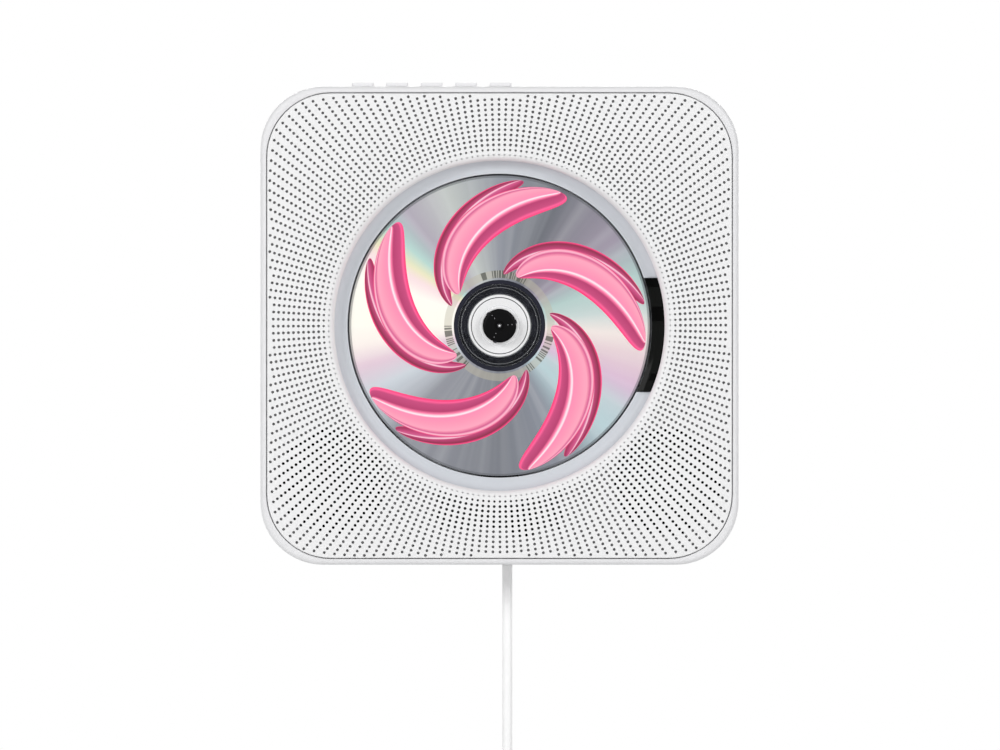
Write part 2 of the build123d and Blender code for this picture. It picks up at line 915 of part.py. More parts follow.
def build_capacitors():
    front = board_front + capacitor_height
    return Compound(children=[
        round_bar(board_left + x, board_bottom + z, capacitor_radius, board_front, front)
        for x, z in capacitor_places
    ])


def build_wireless_module():
    return on_board(wireless_place, chip_height)


def build_board_connectors():
    return Compound(children=[on_board(place, connector_height) for place in connector_places])


def build_ribbon_cable():
    """Flat cable from the front of the first connector down to the back of the chassis."""
    x, z, width, length = connector_places[0]
    front = board_front + connector_height + ribbon_thickness / 2
    back = chassis_back - ribbon_thickness / 2
    start = board_bottom + z + length
    landing = chassis_top - ribbon_run
    route = Polyline(
        (-front, start), (-front, start - ribbon_run), (-back, landing), (-back, landing - ribbon_landing)
    )
    strip = Plane.YZ * trace(route, ribbon_thickness)
    return Pos(board_left + x + width / 2, 0, 0) * extrude(strip, amount=ribbon_width / 2, both=True)


def build_usb_socket():
    right = half - port_recess
    left = right - usb_length
    back, front = board_front, board_front + usb_height
    low, high = usb_z - usb_width / 2, usb_z + usb_width / 2
    socket = block(left, right, back, front, low, high)
    inside = right - usb_hollow_length
    socket -= block(inside, right, back + usb_shell, front - usb_shell, low + usb_shell, high - usb_shell)
    tongue_back = back + usb_shell + usb_tongue_gap
    return socket + block(
        inside, right - usb_tongue_recess, tongue_back, tongue_back + usb_tongue,
        low + usb_shell + usb_tongue_gap / 2, high - usb_shell - usb_tongue_gap / 2,
    )


def build_jack(z):
    right = half - port_recess
    inside = inner_half - slide_gap
    depth = board_front + jack_body / 2
    jack = block(
        inside - jack_length, inside, board_front, board_front + jack_body, z - jack_body / 2, z + jack_body / 2
    )
    jack += cross_bar(depth, z, jack_collar_radius, inside, right)
    return jack - cross_bar(depth, z, jack_bore_radius, right - jack_bore_length, right)


def build_switch_guide():
    left, right = cord_x - guide_width / 2, cord_x + guide_width / 2
    back, front = cord_depth - guide_length / 2, cord_depth + guide_length / 2
    guide = block(left, right, back, front, guide_bottom, guide_top)
    guide += upright_bar(cord_x, cord_depth, guide_neck_radius, -half, guide_bottom)
    guide -= block(
        left + guide_wall, right - guide_wall, back + guide_wall, front - guide_wall,
        channel_bottom, guide_lid_bottom,
    )
    guide -= block(
        cord_x - guide_mouth / 2, cord_x + guide_mouth / 2, cord_depth, front,
        channel_bottom, guide_lid_bottom,
    )
    guide -= upright_bar(cord_x, cord_depth, cord_radius + guide_bore_gap, -half, channel_bottom)
    lead = lead_hole / 2
    return guide - block(
        cord_x - lead, cord_x + lead, cord_depth - lead, cord_depth + lead, guide_lid_bottom, guide_top
    )


def build_pull_slider():
    reach_x = guide_width / 2 - guide_wall - slider_gap
    reach_y = guide_length / 2 - guide_wall - slider_gap
    return block(
        cord_x - reach_x, cord_x + reach_x,
        cord_depth - reach_y, cord_depth + reach_y, slider_bottom, slider_top,
    )


def build_return_spring():
    steps = spring_turns * spring_sides
    rise = (spring_length - 2 * spring_wire) / steps
    points = []
    for step in range(steps + 1):
        angle = 2 * pi * step / spring_sides
        points.append((spring_radius * cos(angle), spring_radius * sin(angle), rise * step))
    coil = Polyline(*points)
    section = Plane(coil @ 0, x_dir=(1, 0, 0), z_dir=coil % 0) * Rectangle(spring_wire, spring_wire)
    spring = sweep(section, path=coil, transition=Transition.RIGHT)
    return Pos(cord_x, -cord_depth, channel_bottom + spring_wire) * spring


def build_micro_switch():
    return block(
        cord_x - micro_width / 2, cord_x + micro_width / 2,
        micro_depth - micro_length / 2, micro_depth + micro_length / 2, guide_top, guide_top + micro_height,
    )


# The cord's route, in the upright plane at the cord's depth
turn = radians(cord_turn_angle)
outer_turn = coil_mid_radius + coil_bundle_radius - cord_radius
leave_length = outer_turn / tan(turn)
coil_z = cord_turn_height - leave_length * cos(turn) - outer_turn * sin(turn)
cord_end_run = leave_length - stub_length
cord_points = [
    (cord_x, -cord_depth, slider_bottom),
    (cord_x, -cord_depth, cord_turn_height),
    (
        cord_x - cord_end_run * sin(turn),
        -cord_depth,
        cord_turn_height - cord_end_run * cos(turn),
    ),
]
cord_bend = 0.45 * cord_end_run / tan(turn / 2)


def build_cord():
    route = FilletPolyline(*cord_points, radius=cord_bend)
    section = Plane(route @ 0, x_dir=(1, 0, 0), z_dir=route % 0) * Circle(cord_radius)
    cord = sweep(section, path=route)
    share = cord.volume / (pi * cord_radius**2 * route.length)
    print(f"cord bend radius {cord_bend:.1f} mm, length {route.length:.1f} mm, volume share {share:.4f}")
    return cord


def on_coil(angle, radius):
    """Point in the coil's plane at an angle from +X and a distance from the coil's centre."""
    return Vector(
        cord_x + radius * cos(radians(angle)), -cord_depth, coil_z + radius * sin(radians(angle))
    )


def bar_from(start, direction, radius, length):
    return extrude(Plane(start, x_dir=(0, 1, 0), z_dir=direction) * Circle(radius), amount=length)


def build_cord_coil():
    step = 360 / coil_facets
    corner = coil_mid_radius / cos(radians(step / 2))
    side = bundle_section(coil_bundle_radius)
    route = Polyline(*[on_coil(step * index, corner) for index in range(coil_facets)], close=True)
    start = on_coil(step / 2, coil_mid_radius)
    section = Plane(start, x_dir=(0, 1, 0), z_dir=ring_direction(step / 2)) * side
    coil = sweep(section, path=route, transition=Transition.RIGHT)
    leave_angle = 180 - cord_turn_angle
    coil += bar_from(on_coil(leave_angle, outer_turn), -ring_direction(leave_angle), cord_radius, stub_length)
    return coil + bar_from(
        on_coil(plug_end_angle, outer_turn), ring_direction(plug_end_angle), cord_radius, plug_stub_length
    )


def ring_direction(angle):
    return Vector(-sin(radians(angle)), 0, cos(radians(angle)))


def bundle_section(apothem):
    return Rot(0, 0, 180 / bundle_sides) * RegularPolygon(apothem, bundle_sides, major_radius=False)


def build_cord_tie():
    angle = 360 / coil_facets * (tie_facet + 0.5)
    plane = Plane(on_coil(angle, coil_mid_radius), x_dir=(0, 1, 0), z_dir=ring_direction(angle))
    band = bundle_section(coil_bundle_radius + tie_thickness) - bundle_section(coil_bundle_radius)
    return extrude(plane * band, amount=tie_width / 2, both=True)


def plug_plane(distance):
    """Plane across the plug, at a distance along the cord's last straight run."""
    direction = ring_direction(plug_end_angle)
    origin = on_coil(plug_end_angle, outer_turn) + direction * (plug_stub_length + distance)
    return Plane(origin, x_dir=direction.cross(Vector(0, 1, 0)), z_dir=direction)


def build_usb_plug():
    outline = RectangleRounded(plug_width, plug_thickness, plug_round)
    return extrude(plug_plane(0) * outline, amount=plug_length)


def build_plug_shell():
    outside = Rectangle(plug_shell_width, plug_shell_thickness)
    inside = Rectangle(
        plug_shell_width - 2 * plug_shell_wall, plug_shell_thickness - 2 * plug_shell_wall
    )
    shell = extrude(plug_plane(plug_length) * outside, amount=plug_shell_length)
    floor = plug_length + 2 * plug_shell_wall
    return shell - extrude(plug_plane(floor) * inside, amount=plug_shell_length)


nodes = {
    "front_panel": build_front_panel(),
    "main_housing": build_main_housing(),
    "rear_cover": build_rear_cover(),
    "rear_cover_screws": build_cover_screws(),
    "disc_well": build_disc_well(),
    "display_window": build_display_window(),
    "display_board": build_display_board(),
    "display_module": build_display_module(),
    "infrared_receiver": build_infrared_receiver(),
    "key_board": build_key_board(),
    "key_switches": build_key_switches(),
    "mechanism_chassis": build_chassis(),
    "isolation_bushes": build_isolation_bushes(),
    "spindle_motor": build_spindle_motor(),
    "spindle_shaft": build_spindle_shaft(),
    "turntable": build_turntable(),
    "disc_mat": build_disc_mat(),
    "spindle_hub": build_spindle_hub(),
    "disc_balls": build_disc_balls(),
    "compact_disc": build_compact_disc(),
    "sled_motor": build_sled_motor(),
    "lead_screw": build_lead_screw(),
    "guide_rods": build_guide_rods(),
    "pickup_sled": build_pickup_sled(),
    "pickup_lens": build_pickup_lens(),
    "speaker_frame_left": build_speaker_frame(-1),
    "speaker_frame_right": build_speaker_frame(1),
    "speaker_magnet_left": build_speaker_magnet(-1),
    "speaker_magnet_right": build_speaker_magnet(1),
    "speaker_cones": build_speaker_cones(),
    "speaker_gaskets": build_speaker_gaskets(),
    "main_board": build_main_board(),
    "board_chips": build_board_chips(),
    "capacitors": build_capacitors(),
    "wireless_module": build_wireless_module(),
    "board_connectors": build_board_connectors(),
    "ribbon_cable": build_ribbon_cable(),
    "usb_socket": build_usb_socket(),
    "aux_jack": build_jack(aux_z),
    "headphone_jack": build_jack(headphone_z),
    "switch_guide": build_switch_guide(),
    "pull_slider": build_pull_slider(),
    "return_spring": build_return_spring(),
    "micro_switch": build_micro_switch(),
    "cord": build_cord(),
    "cord_coil": build_cord_coil(),
    "cord_tie": build_cord_tie(),
    "usb_plug": build_usb_plug(),
    "plug_shell": build_plug_shell(),
}
for index, name in enumerate(("power", "source", "previous", "play", "next")):
    nodes[f"button_{name}"] = build_button(index)

os.makedirs("parts", exist_ok=True)
for name, shape in nodes.items():
    export_step(shape, f"parts/{name}.step")
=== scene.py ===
from math import cos, hypot, pi, radians, sin, tan

import bmesh
import bpy
from mathutils import Matrix, Vector


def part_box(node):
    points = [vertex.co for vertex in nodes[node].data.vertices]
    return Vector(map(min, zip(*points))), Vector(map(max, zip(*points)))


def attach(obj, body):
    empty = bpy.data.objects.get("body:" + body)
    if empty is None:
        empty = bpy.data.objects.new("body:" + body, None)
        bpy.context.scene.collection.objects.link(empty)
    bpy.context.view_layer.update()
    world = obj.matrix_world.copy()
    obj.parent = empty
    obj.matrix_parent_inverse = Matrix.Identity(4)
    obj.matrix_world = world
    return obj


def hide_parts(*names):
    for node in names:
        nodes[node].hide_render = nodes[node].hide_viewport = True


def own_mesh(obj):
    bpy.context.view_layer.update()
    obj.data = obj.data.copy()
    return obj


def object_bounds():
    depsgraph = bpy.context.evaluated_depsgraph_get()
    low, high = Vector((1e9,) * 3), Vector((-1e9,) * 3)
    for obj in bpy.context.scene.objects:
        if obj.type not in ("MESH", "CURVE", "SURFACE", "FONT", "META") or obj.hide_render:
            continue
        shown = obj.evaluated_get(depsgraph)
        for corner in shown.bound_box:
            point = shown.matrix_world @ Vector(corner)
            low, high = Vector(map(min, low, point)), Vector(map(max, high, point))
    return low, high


# Wall-mounted disc player. Sizes are in millimetres until a mesh is made.
# "Depth" is the distance out from the wall, towards -Y. The front is at depth 45.
mm = 0.001
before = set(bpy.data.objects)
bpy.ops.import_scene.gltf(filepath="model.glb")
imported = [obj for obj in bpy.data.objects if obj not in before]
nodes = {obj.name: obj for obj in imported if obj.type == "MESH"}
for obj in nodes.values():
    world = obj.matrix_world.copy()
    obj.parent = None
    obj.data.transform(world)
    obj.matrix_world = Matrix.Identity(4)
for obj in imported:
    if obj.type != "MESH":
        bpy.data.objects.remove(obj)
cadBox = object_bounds()
print("frame loaded:", len(nodes), "nodes")

body = {"half": 95.0, "corner": 25.0, "wall": 2.3, "front": 45.0, "coverDepth": 8.0}
# a cutter reaches this far beyond what it cuts
spare = 1.0


class Wire:
    # one output socket: arithmetic on it adds Math nodes to the tree it belongs to
    def __init__(self, graph, socket):
        self.graph = graph
        self.socket = socket

    def other(self, name):
        return Wire(self.graph, self.socket.node.outputs[name])

    def math(self, operation, *values):
        return self.graph.add("ShaderNodeMath", {"operation": operation}, dict(enumerate(values)))

    def apply(self, operation, *values):
        return self.math(operation, self, *values)

    def __add__(self, value):
        return self.math("ADD", self, value)

    def __radd__(self, value):
        return self.math("ADD", value, self)

    def __sub__(self, value):
        return self.math("SUBTRACT", self, value)

    def __rsub__(self, value):
        return self.math("SUBTRACT", value, self)

    def __mul__(self, value):
        return self.math("MULTIPLY", self, value)

    def __rmul__(self, value):
        return self.math("MULTIPLY", value, self)

    def __truediv__(self, value):
        return self.math("DIVIDE", self, value)

    def __rtruediv__(self, value):
        return self.math("DIVIDE", value, self)

    def __gt__(self, value):
        return self.math("GREATER_THAN", self, value)

    def __lt__(self, value):
        return self.math("LESS_THAN", self, value)


def span(x, y):
    return (x * x + y * y).apply("SQRT")


class Graph:
    def __init__(self, tree):
        self.tree = tree

    def add(self, kind, settings=None, inputs=None, output=0):
        node = self.tree.nodes.new(kind)
        for name, value in (settings or {}).items():
            if name == "stops":
                setStops(node.color_ramp, value)
            else:
                setattr(node, name, value)
        for name, value in (inputs or {}).items():
            if isinstance(value, Wire):
                self.tree.links.new(value.socket, node.inputs[name])
            else:
                node.inputs[name].default_value = value
        if node.outputs:
            return Wire(self, node.outputs[output])


def setStops(ramp, stops):
    while len(ramp.elements) < len(stops):
        ramp.elements.new(1.0)
    for element, (place, *shade) in zip(ramp.elements, stops):
        element.position = place
        element.color = linear(*shade)


def linear(red, green, blue):
    # shade written as screen values, 0 to 255
    return tuple(
        value / 12.92 if value <= 0.04045 else ((value + 0.055) / 1.055) ** 2.4
        for value in (red / 255, green / 255, blue / 255)
    ) + (1.0,)


class Finish(Graph):
    # a material: its constants are set on the shader, what varies is fed to it
    def __init__(self, name, colour, roughness, **constants):
        self.material = bpy.data.materials.new(name)
        self.material.use_nodes = True
        super().__init__(self.material.node_tree)
        self.shader = self.tree.nodes["Principled BSDF"]
        self.shader.inputs["Base Color"].default_value = linear(*colour)
        self.shader.inputs["Roughness"].default_value = roughness
        for socket, value in constants.items():
            self.shader.inputs[socket.replace("_", " ")].default_value = value
        self.where = self.add("ShaderNodeTexCoord", output="Object")

    def feed(self, socket, wire):
        self.tree.links.new(wire.socket, self.shader.inputs[socket])

    def axes(self):
        # millimetres across and up
        split = self.add("ShaderNodeSeparateXYZ", inputs={0: self.where})
        return split / mm, split.other("Z") / mm

    def noise(self, scale, detail=2.0, stretch=(1, 1, 1)):
        # scale counts waves along a metre
        place = self.add("ShaderNodeMapping", inputs={"Vector": self.where, "Scale": stretch})
        return self.add("ShaderNodeTexNoise", inputs={"Vector": place, "Scale": scale, "Detail": detail})

    def blend(self, factor, first, second):
        # first and second are links, or shades written as screen values
        first, second = (each if isinstance(each, Wire) else linear(*each) for each in (first, second))
        return self.add("ShaderNodeMix", {"data_type": "RGBA"}, {0: factor, 6: first, 7: second}, output=2)

    def vary(self, scale, colour, other):
        # two shades of one colour, clouded into each other
        self.feed("Base Color", self.blend(self.noise(scale), colour, other))

    def bump(self, height, distance):
        settings = {"Height": height, "Distance": distance * mm, "Strength": 1.0}
        self.feed("Normal", self.add("ShaderNodeBump", inputs=settings))

    def roughen(self, low, high, scale):
        self.feed("Roughness", self.noise(scale, 3.0) * (high - low) + low)


def at(x, depth, z):
    # a point from millimetres
    return Vector((x * mm, -depth * mm, z * mm))


def polar(radius, angle):
    return radius * cos(angle), radius * sin(angle)


def ringPoint(radius, angle, depth):
    x, z = polar(radius, angle)
    return at(x, depth, z)


def addObject(name, data):
    piece = bpy.data.objects.new(name, data)
    bpy.context.scene.collection.objects.link(piece)
    return piece


def openMesh(mesh):
    shape = bmesh.new()
    shape.from_mesh(mesh)
    return shape


def writeMesh(shape):
    mesh = bpy.data.meshes.new("mesh")
    shape.to_mesh(mesh)
    shape.free()
    return mesh


def markEdges(shape, sharpFrom=32.0):
    for face in shape.faces:
        face.smooth = True
    for edge in shape.edges:
        edge.smooth = edge.calc_face_angle(0.0) < radians(sharpFrom)


def closeMesh(shape, sharpFrom=32.0, outward=True):
    bmesh.ops.remove_doubles(shape, verts=shape.verts, dist=0.002 * mm)
    if outward:
        bmesh.ops.recalc_face_normals(shape, faces=shape.faces)
    markEdges(shape, sharpFrom)
    return writeMesh(shape)


def quarter(centre, size, start, end, steps):
    # points of an arc in the plane of radius and depth
    points = []
    for step in range(steps + 1):
        across, up = polar(size, radians(start + (end - start) * step / steps))
        points.append((centre[0] + across, centre[1] + up))
    return points


def spun(profile, steps):
    # loops of (radius, depth) points turned about the disc's axis
    turns = [2 * pi * step / steps for step in range(steps)]
    return [[ringPoint(radius, angle, depth) for angle in turns] for radius, depth in profile]


def bridge(shape, ring, other):
    count = len(ring)
    for index in range(count):
        after = (index + 1) % count
        shape.faces.new((ring[index], ring[after], other[after], other[index]))


def loftLoops(shape, loops, closed=False, caps=False):
    rings = [[shape.verts.new(point) for point in loop] for loop in loops]
    for ring, other in zip(rings, rings[1:]):
        bridge(shape, ring, other)
    if closed:
        bridge(shape, rings[-1], rings[0])
    if caps:
        shape.faces.new(rings[0])
        shape.faces.new(rings[-1])


def lofted(loops, sharpFrom=32.0, closed=False):
    # a ring closed on itself, or else a body with two flat ends
    shape = bmesh.new()
    loftLoops(shape, loops, closed, caps=not closed)
    return closeMesh(shape, sharpFrom)


def turned(profile, steps, sharpFrom=32.0):
    return lofted(spun(profile, steps), sharpFrom, closed=True)


def squareOutline(halfWidth, halfHeight, corner, cornerSteps=14):
    # rounded rectangle as (across, up) points, the same number whatever its size
    points = []
    for index, (side, level) in enumerate(((1, 1), (-1, 1), (-1, -1), (1, -1))):
        for step in range(cornerSteps + 1):
            across, up = polar(corner, radians(90 * index + 90 * step / cornerSteps))
            points.append((side * (halfWidth - corner) + across, level * (halfHeight - corner) + up))
    return points


def rectangle(halfWidth, halfHeight):
    return [(x * halfWidth, y * halfHeight) for x, y in ((-1, -1), (1, -1), (1, 1), (-1, 1))]


def facingLoop(outline, depth):
    return [at(x, depth, z) for x, z in outline]


def lyingLoop(outline, z, x=0.0, depth=0.0):
    # an outline laid in a level plane at a height
    return [at(x + across, depth + out, z) for across, out in outline]


def addBlock(shape, low, high):
    corners = [shape.verts.new(at(x, depth, z)) for x in (low[0], high[0])
               for depth in (low[1], high[1]) for z in (low[2], high[2])]
    for face in ((0, 1, 3, 2), (4, 6, 7, 5), (0, 4, 5, 1), (2, 3, 7, 6), (0, 2, 6, 4), (1, 5, 7, 3)):
        shape.faces.new([corners[index] for index in face])


def blocks(places):
    shape = bmesh.new()
    for low, high in places:
        addBlock(shape, low, high)
    return closeMesh(shape)


def bar(shape, start, direction, radius, length, steps=32):
    # closed round bar along a direction
    turn = Vector(direction).to_track_quat("Z", "Y").to_matrix()
    circle = [polar(radius, 2 * pi * step / steps) for step in range(steps)]
    loops = [[start + turn @ Vector((x, y, distance)) * mm for x, y in circle] for distance in (0, length)]
    loftLoops(shape, loops, caps=True)


def evaluated(piece):
    graph = bpy.context.evaluated_depsgraph_get()
    return bpy.data.meshes.new_from_object(piece.evaluated_get(graph))


def modified(mesh, kind, sharpFrom, **settings):
    # a plain mesh again, after one modifier
    piece = addObject("modified", mesh)
    modifier = piece.modifiers.new("change", kind)
    for name, value in settings.items():
        setattr(modifier, name, value)
    shape = openMesh(evaluated(piece))
    bpy.data.objects.remove(piece)
    return closeMesh(shape, sharpFrom, outward=False)


def cutMesh(mesh, cutterMesh, sharpFrom=32.0, operation="DIFFERENCE"):
    cutter = addObject("cutter", cutterMesh)
    result = modified(mesh, "BOOLEAN", sharpFrom, object=cutter, operation=operation, solver="EXACT")
    bpy.data.objects.remove(cutter)
    return result


def soften(mesh, width, segments=3, angle=32.0):
    # rounds every sharp edge by a small bevel
    return modified(mesh, "BEVEL", angle, width=width * mm, segments=segments, limit_method="ANGLE",
                    angle_limit=radians(angle))


def cadShape(node, sharpFrom):
    # a merged copy of a frame node's mesh with whole faces again
    shape = openMesh(nodes[node].data)
    bmesh.ops.remove_doubles(shape, verts=shape.verts, dist=0.001 * mm)
    bmesh.ops.dissolve_limit(
        shape, angle_limit=radians(0.5), use_dissolve_boundaries=False,
        verts=shape.verts, edges=shape.edges, delimit={"NORMAL"},
    )
    return closeMesh(shape, sharpFrom, outward=False)


def place(name, mesh, finish, bodyName, slotName, replaces=True):
    # finish names one material, or a list of them
    mesh.name = name
    # clearing an empty list would reset which face has which finish
    if mesh.materials:
        mesh.materials.clear()
    for each in [finish] if isinstance(finish, str) else finish:
        mesh.materials.append(bpy.data.materials[each])
    piece = addObject(name, mesh)
    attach(piece, bodyName)
    if replaces:
        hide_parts(slotName)
    return piece


plastics = {
    # colour, its other shade, roughness, grains along a metre, grain depth, specular level
    "plateWhite": ((236, 236, 236), (233, 233, 234), 0.45, 2600, 0.001, 0.5),
    "housingWhite": ((231, 231, 232), (228, 228, 230), 0.36, 1800, 0.0004, 0.2),
    "wellSilver": ((208, 211, 216), (203, 207, 213), 0.4, 2200, 0.0004, 0.2),
    "coverWhite": ((230, 230, 232), (222, 222, 225), 0.55, 900, 0.02, 0.5),
    "buttonWhite": ((242, 242, 243), (239, 239, 241), 0.36, 2400, 0.0004, 0.2),
    "turntableWhite": ((242, 242, 242), (239, 239, 240), 0.25, 2600, 0.0006, 0.5),
    # navy for the turntable's flange, and painted shade in its groove
    "turntableNavy": ((15, 17, 34), (22, 24, 42), 0.35, 2600, 0.001, 0.12),
    "hubBlack": ((7, 7, 8), (12, 12, 13), 0.4, 3000, 0.002, 0.06),
    "mechanismBlack": ((24, 24, 26), (34, 34, 36), 0.5, 1500, 0.01, 0.5),
    "rubberBlack": ((16, 17, 26), (22, 23, 32), 0.7, 2200, 0.012, 0.12),
    "jackBlack": ((20, 20, 21), (28, 28, 30), 0.4, 2000, 0.005, 0.5),
    "guideWhite": ((228, 228, 229), (220, 220, 222), 0.5, 1500, 0.006, 0.5),
    "cordWhite": ((250, 250, 250), (246, 246, 246), 0.4, 1800, 0.008, 0.5),
    "tieBlack": ((22, 22, 23), (32, 32, 34), 0.45, 1500, 0.01, 0.5),
    "connectorCream": ((222, 216, 198), (212, 205, 186), 0.5, 1500, 0.006, 0.5),
    "magnetGrey": ((70, 70, 73), (56, 56, 58), 0.6, 1200, 0.02, 0.5),
}
metals = {
    # colour and roughness
    "steel": ((205, 205, 208), 0.3), "darkSteel": ((52, 52, 56), 0.2), "chrome": ((225, 226, 228), 0.12),
    "pinSteel": ((128, 128, 130), 0.25), "screwSteel": ((176, 176, 180), 0.32),
    "canAluminium": ((190, 192, 196), 0.34), "gold": ((226, 184, 96), 0.25),
}
moulding = {"cloudScale": 9, "sheenScale": 60, "sheenSpread": 0.05}
turning = {"lineScale": 400, "lineDetail": 3.0, "lineDepth": 0.004, "sheenSpread": 0.18, "sheenLow": 0.06}


def mouldedPlastic(name, colour, shade, roughness, grain, depth, specular):
    finish = Finish(name, colour, roughness, Specular_IOR_Level=specular)
    finish.vary(moulding["cloudScale"], colour, shade)
    spread = moulding["sheenSpread"]
    finish.roughen(roughness - spread, roughness + spread, moulding["sheenScale"])
    finish.bump(finish.noise(grain), depth)


def turnedMetal(name, colour, roughness):
    finish = Finish(name, colour, roughness, Metallic=1.0)
    lines = finish.noise(turning["lineScale"], turning["lineDetail"])
    finish.feed("Roughness", lines * turning["sheenSpread"] + (roughness - turning["sheenLow"]))
    finish.bump(lines, turning["lineDepth"])
    return finish


for finishName, values in plastics.items():
    mouldedPlastic(finishName, *values)
for finishName, values in metals.items():
    turnedMetal(finishName, *values)

board = {"green": (16, 74, 42), "track": (30, 104, 58), "tracks": 0.9, "trackWidth": 0.28, "lanes": 0.13,
         "laneGap": 0.45, "patchScale": 90, "copper": 0.02, "roughness": 0.4}


def boardGreen():
    finish = Finish("boardGreen", board["green"], board["roughness"])
    x, z = finish.axes()
    tracks = (x * board["tracks"]).apply("FRACT") < board["trackWidth"]
    lanes = (z * board["lanes"]).apply("FRACT") > board["laneGap"]
    copper = tracks * (lanes * (finish.noise(board["patchScale"], 1.0) > 0.5))
    finish.feed("Base Color", finish.blend(copper, board["green"], board["track"]))
    finish.bump(copper, board["copper"])


cloth = {"feltGrey": ((180, 180, 181), (154, 154, 156), 0.42), "clothBlack": ((5, 5, 5), (2, 2, 2), 0.5),
         "roughness": 0.85, "thread": 0.08, "dim": (12, 12, 12), "dimShare": 0.86, "dimHalf": 25.0,
         "dimLow": -81.0, "dimHigh": -55.0}


def weave(name):
    # open acoustic cloth with threads both ways, darker in a field between the speakers
    colour, dark, pitch = cloth[name]
    finish = Finish(name, colour, cloth["roughness"], Specular_IOR_Level=0.0)
    x, z = finish.axes()
    turn = 2 * pi / pitch
    threads = (x * turn).apply("SINE") * (z * turn).apply("SINE") * 0.5 + 0.5
    shade = finish.blend(threads, dark, colour)
    dim = (x.apply("ABSOLUTE") < cloth["dimHalf"]) * (z < cloth["dimHigh"]) * (z > cloth["dimLow"])
    finish.feed("Base Color", finish.blend(dim * cloth["dimShare"], shade, cloth["dim"]))
    finish.bump(threads, cloth["thread"])


smoke = {"face": (9, 9, 9), "edge": (3, 3, 3), "pane": (20, 21, 20), "upperPane": (7.6, 15.3),
         "lowerPane": 1.8, "dot": (-21.8, -19.0), "dotInner": 63.2, "paneOuter": 65.2,
         "roughness": 0.08, "specular": 0.03, "sheen": (0.05, 0.1, 50)}


def smokedWindow():
    # dark panes lie behind the smoked face, seen as slightly paler fields
    finish = Finish("smokedWindow", smoke["face"], smoke["roughness"], Specular_IOR_Level=smoke["specular"])
    x, z = finish.axes()
    radius = span(x, z)
    upper = (z < smoke["upperPane"][1]) * (z > smoke["upperPane"][0])
    dot = (z < smoke["dot"][1]) * (z > smoke["dot"][0]) * (radius > smoke["dotInner"])
    panes = (upper + (z < smoke["lowerPane"])).apply("MINIMUM", 1.0) * (1 - dot)
    panes = panes * (radius < smoke["paneOuter"])
    finish.feed("Base Color", finish.blend(panes, smoke["edge"], smoke["pane"]))
    finish.roughen(*smoke["sheen"])


boardGreen()
weave("feltGrey")
weave("clothBlack")
smokedWindow()
print("finishes made")


# perforated front panel
panel = {
    "half": 92.3, "corner": 25.3, "front": 45.0, "back": 42.5, "skin": 1.2, "edgeRound": 0.3,
    "backInset": 0.35, "rows": 200, "ringPitch": 2.0, "firstRing": 69.9, "rings": 28, "margin": 1.0,
    "holeRadius": 0.585, "holeSides": 10, "firstHoleScale": 0.82, "phase": radians(0.13), "edgeSteps": 14,
    "mouth": 69.0, "mouthSteps": 400, "roll": 3.4, "rollSteps": 16, "collar": 69.3,
    "tinyRing": 67.88, "tinyRadius": 0.34, "tinyDepth": 1.1, "bandInner": 67.2,
}


def nodeTree(name, inputs, output):
    # a tree with named inputs, each given by its kind of socket and first value
    tree = bpy.data.node_groups.new(name, "GeometryNodeTree")
    for title, (kind, value) in inputs.items():
        socket = tree.interface.new_socket(title, in_out="INPUT", socket_type="NodeSocket" + kind)
        if value is not None:
            socket.default_value = value
    tree.interface.new_socket(output, in_out="OUTPUT", socket_type="NodeSocketGeometry")
    graph = Graph(tree)
    given = graph.add("NodeGroupInput")
    return graph, {title: given.other(title) for title in inputs}


def endTree(graph, geometry, finish):
    last = graph.add("GeometryNodeSetMaterial", inputs={"Geometry": geometry, "Material": finish})
    graph.add("NodeGroupOutput", inputs={0: last})
    return graph.tree


def join(graph, *parts):
    joined = graph.add("GeometryNodeJoinGeometry")
    for part in parts:
        graph.tree.links.new(part.socket, joined.socket.node.inputs[0])
    return joined


def copied(graph, points, shape, **placing):
    # real copies of one shape, one on each point
    spread = {"Points": points, "Instance": shape, **placing}
    copies = graph.add("GeometryNodeInstanceOnPoints", inputs=spread)
    return graph.add("GeometryNodeRealizeInstances", inputs={0: copies})


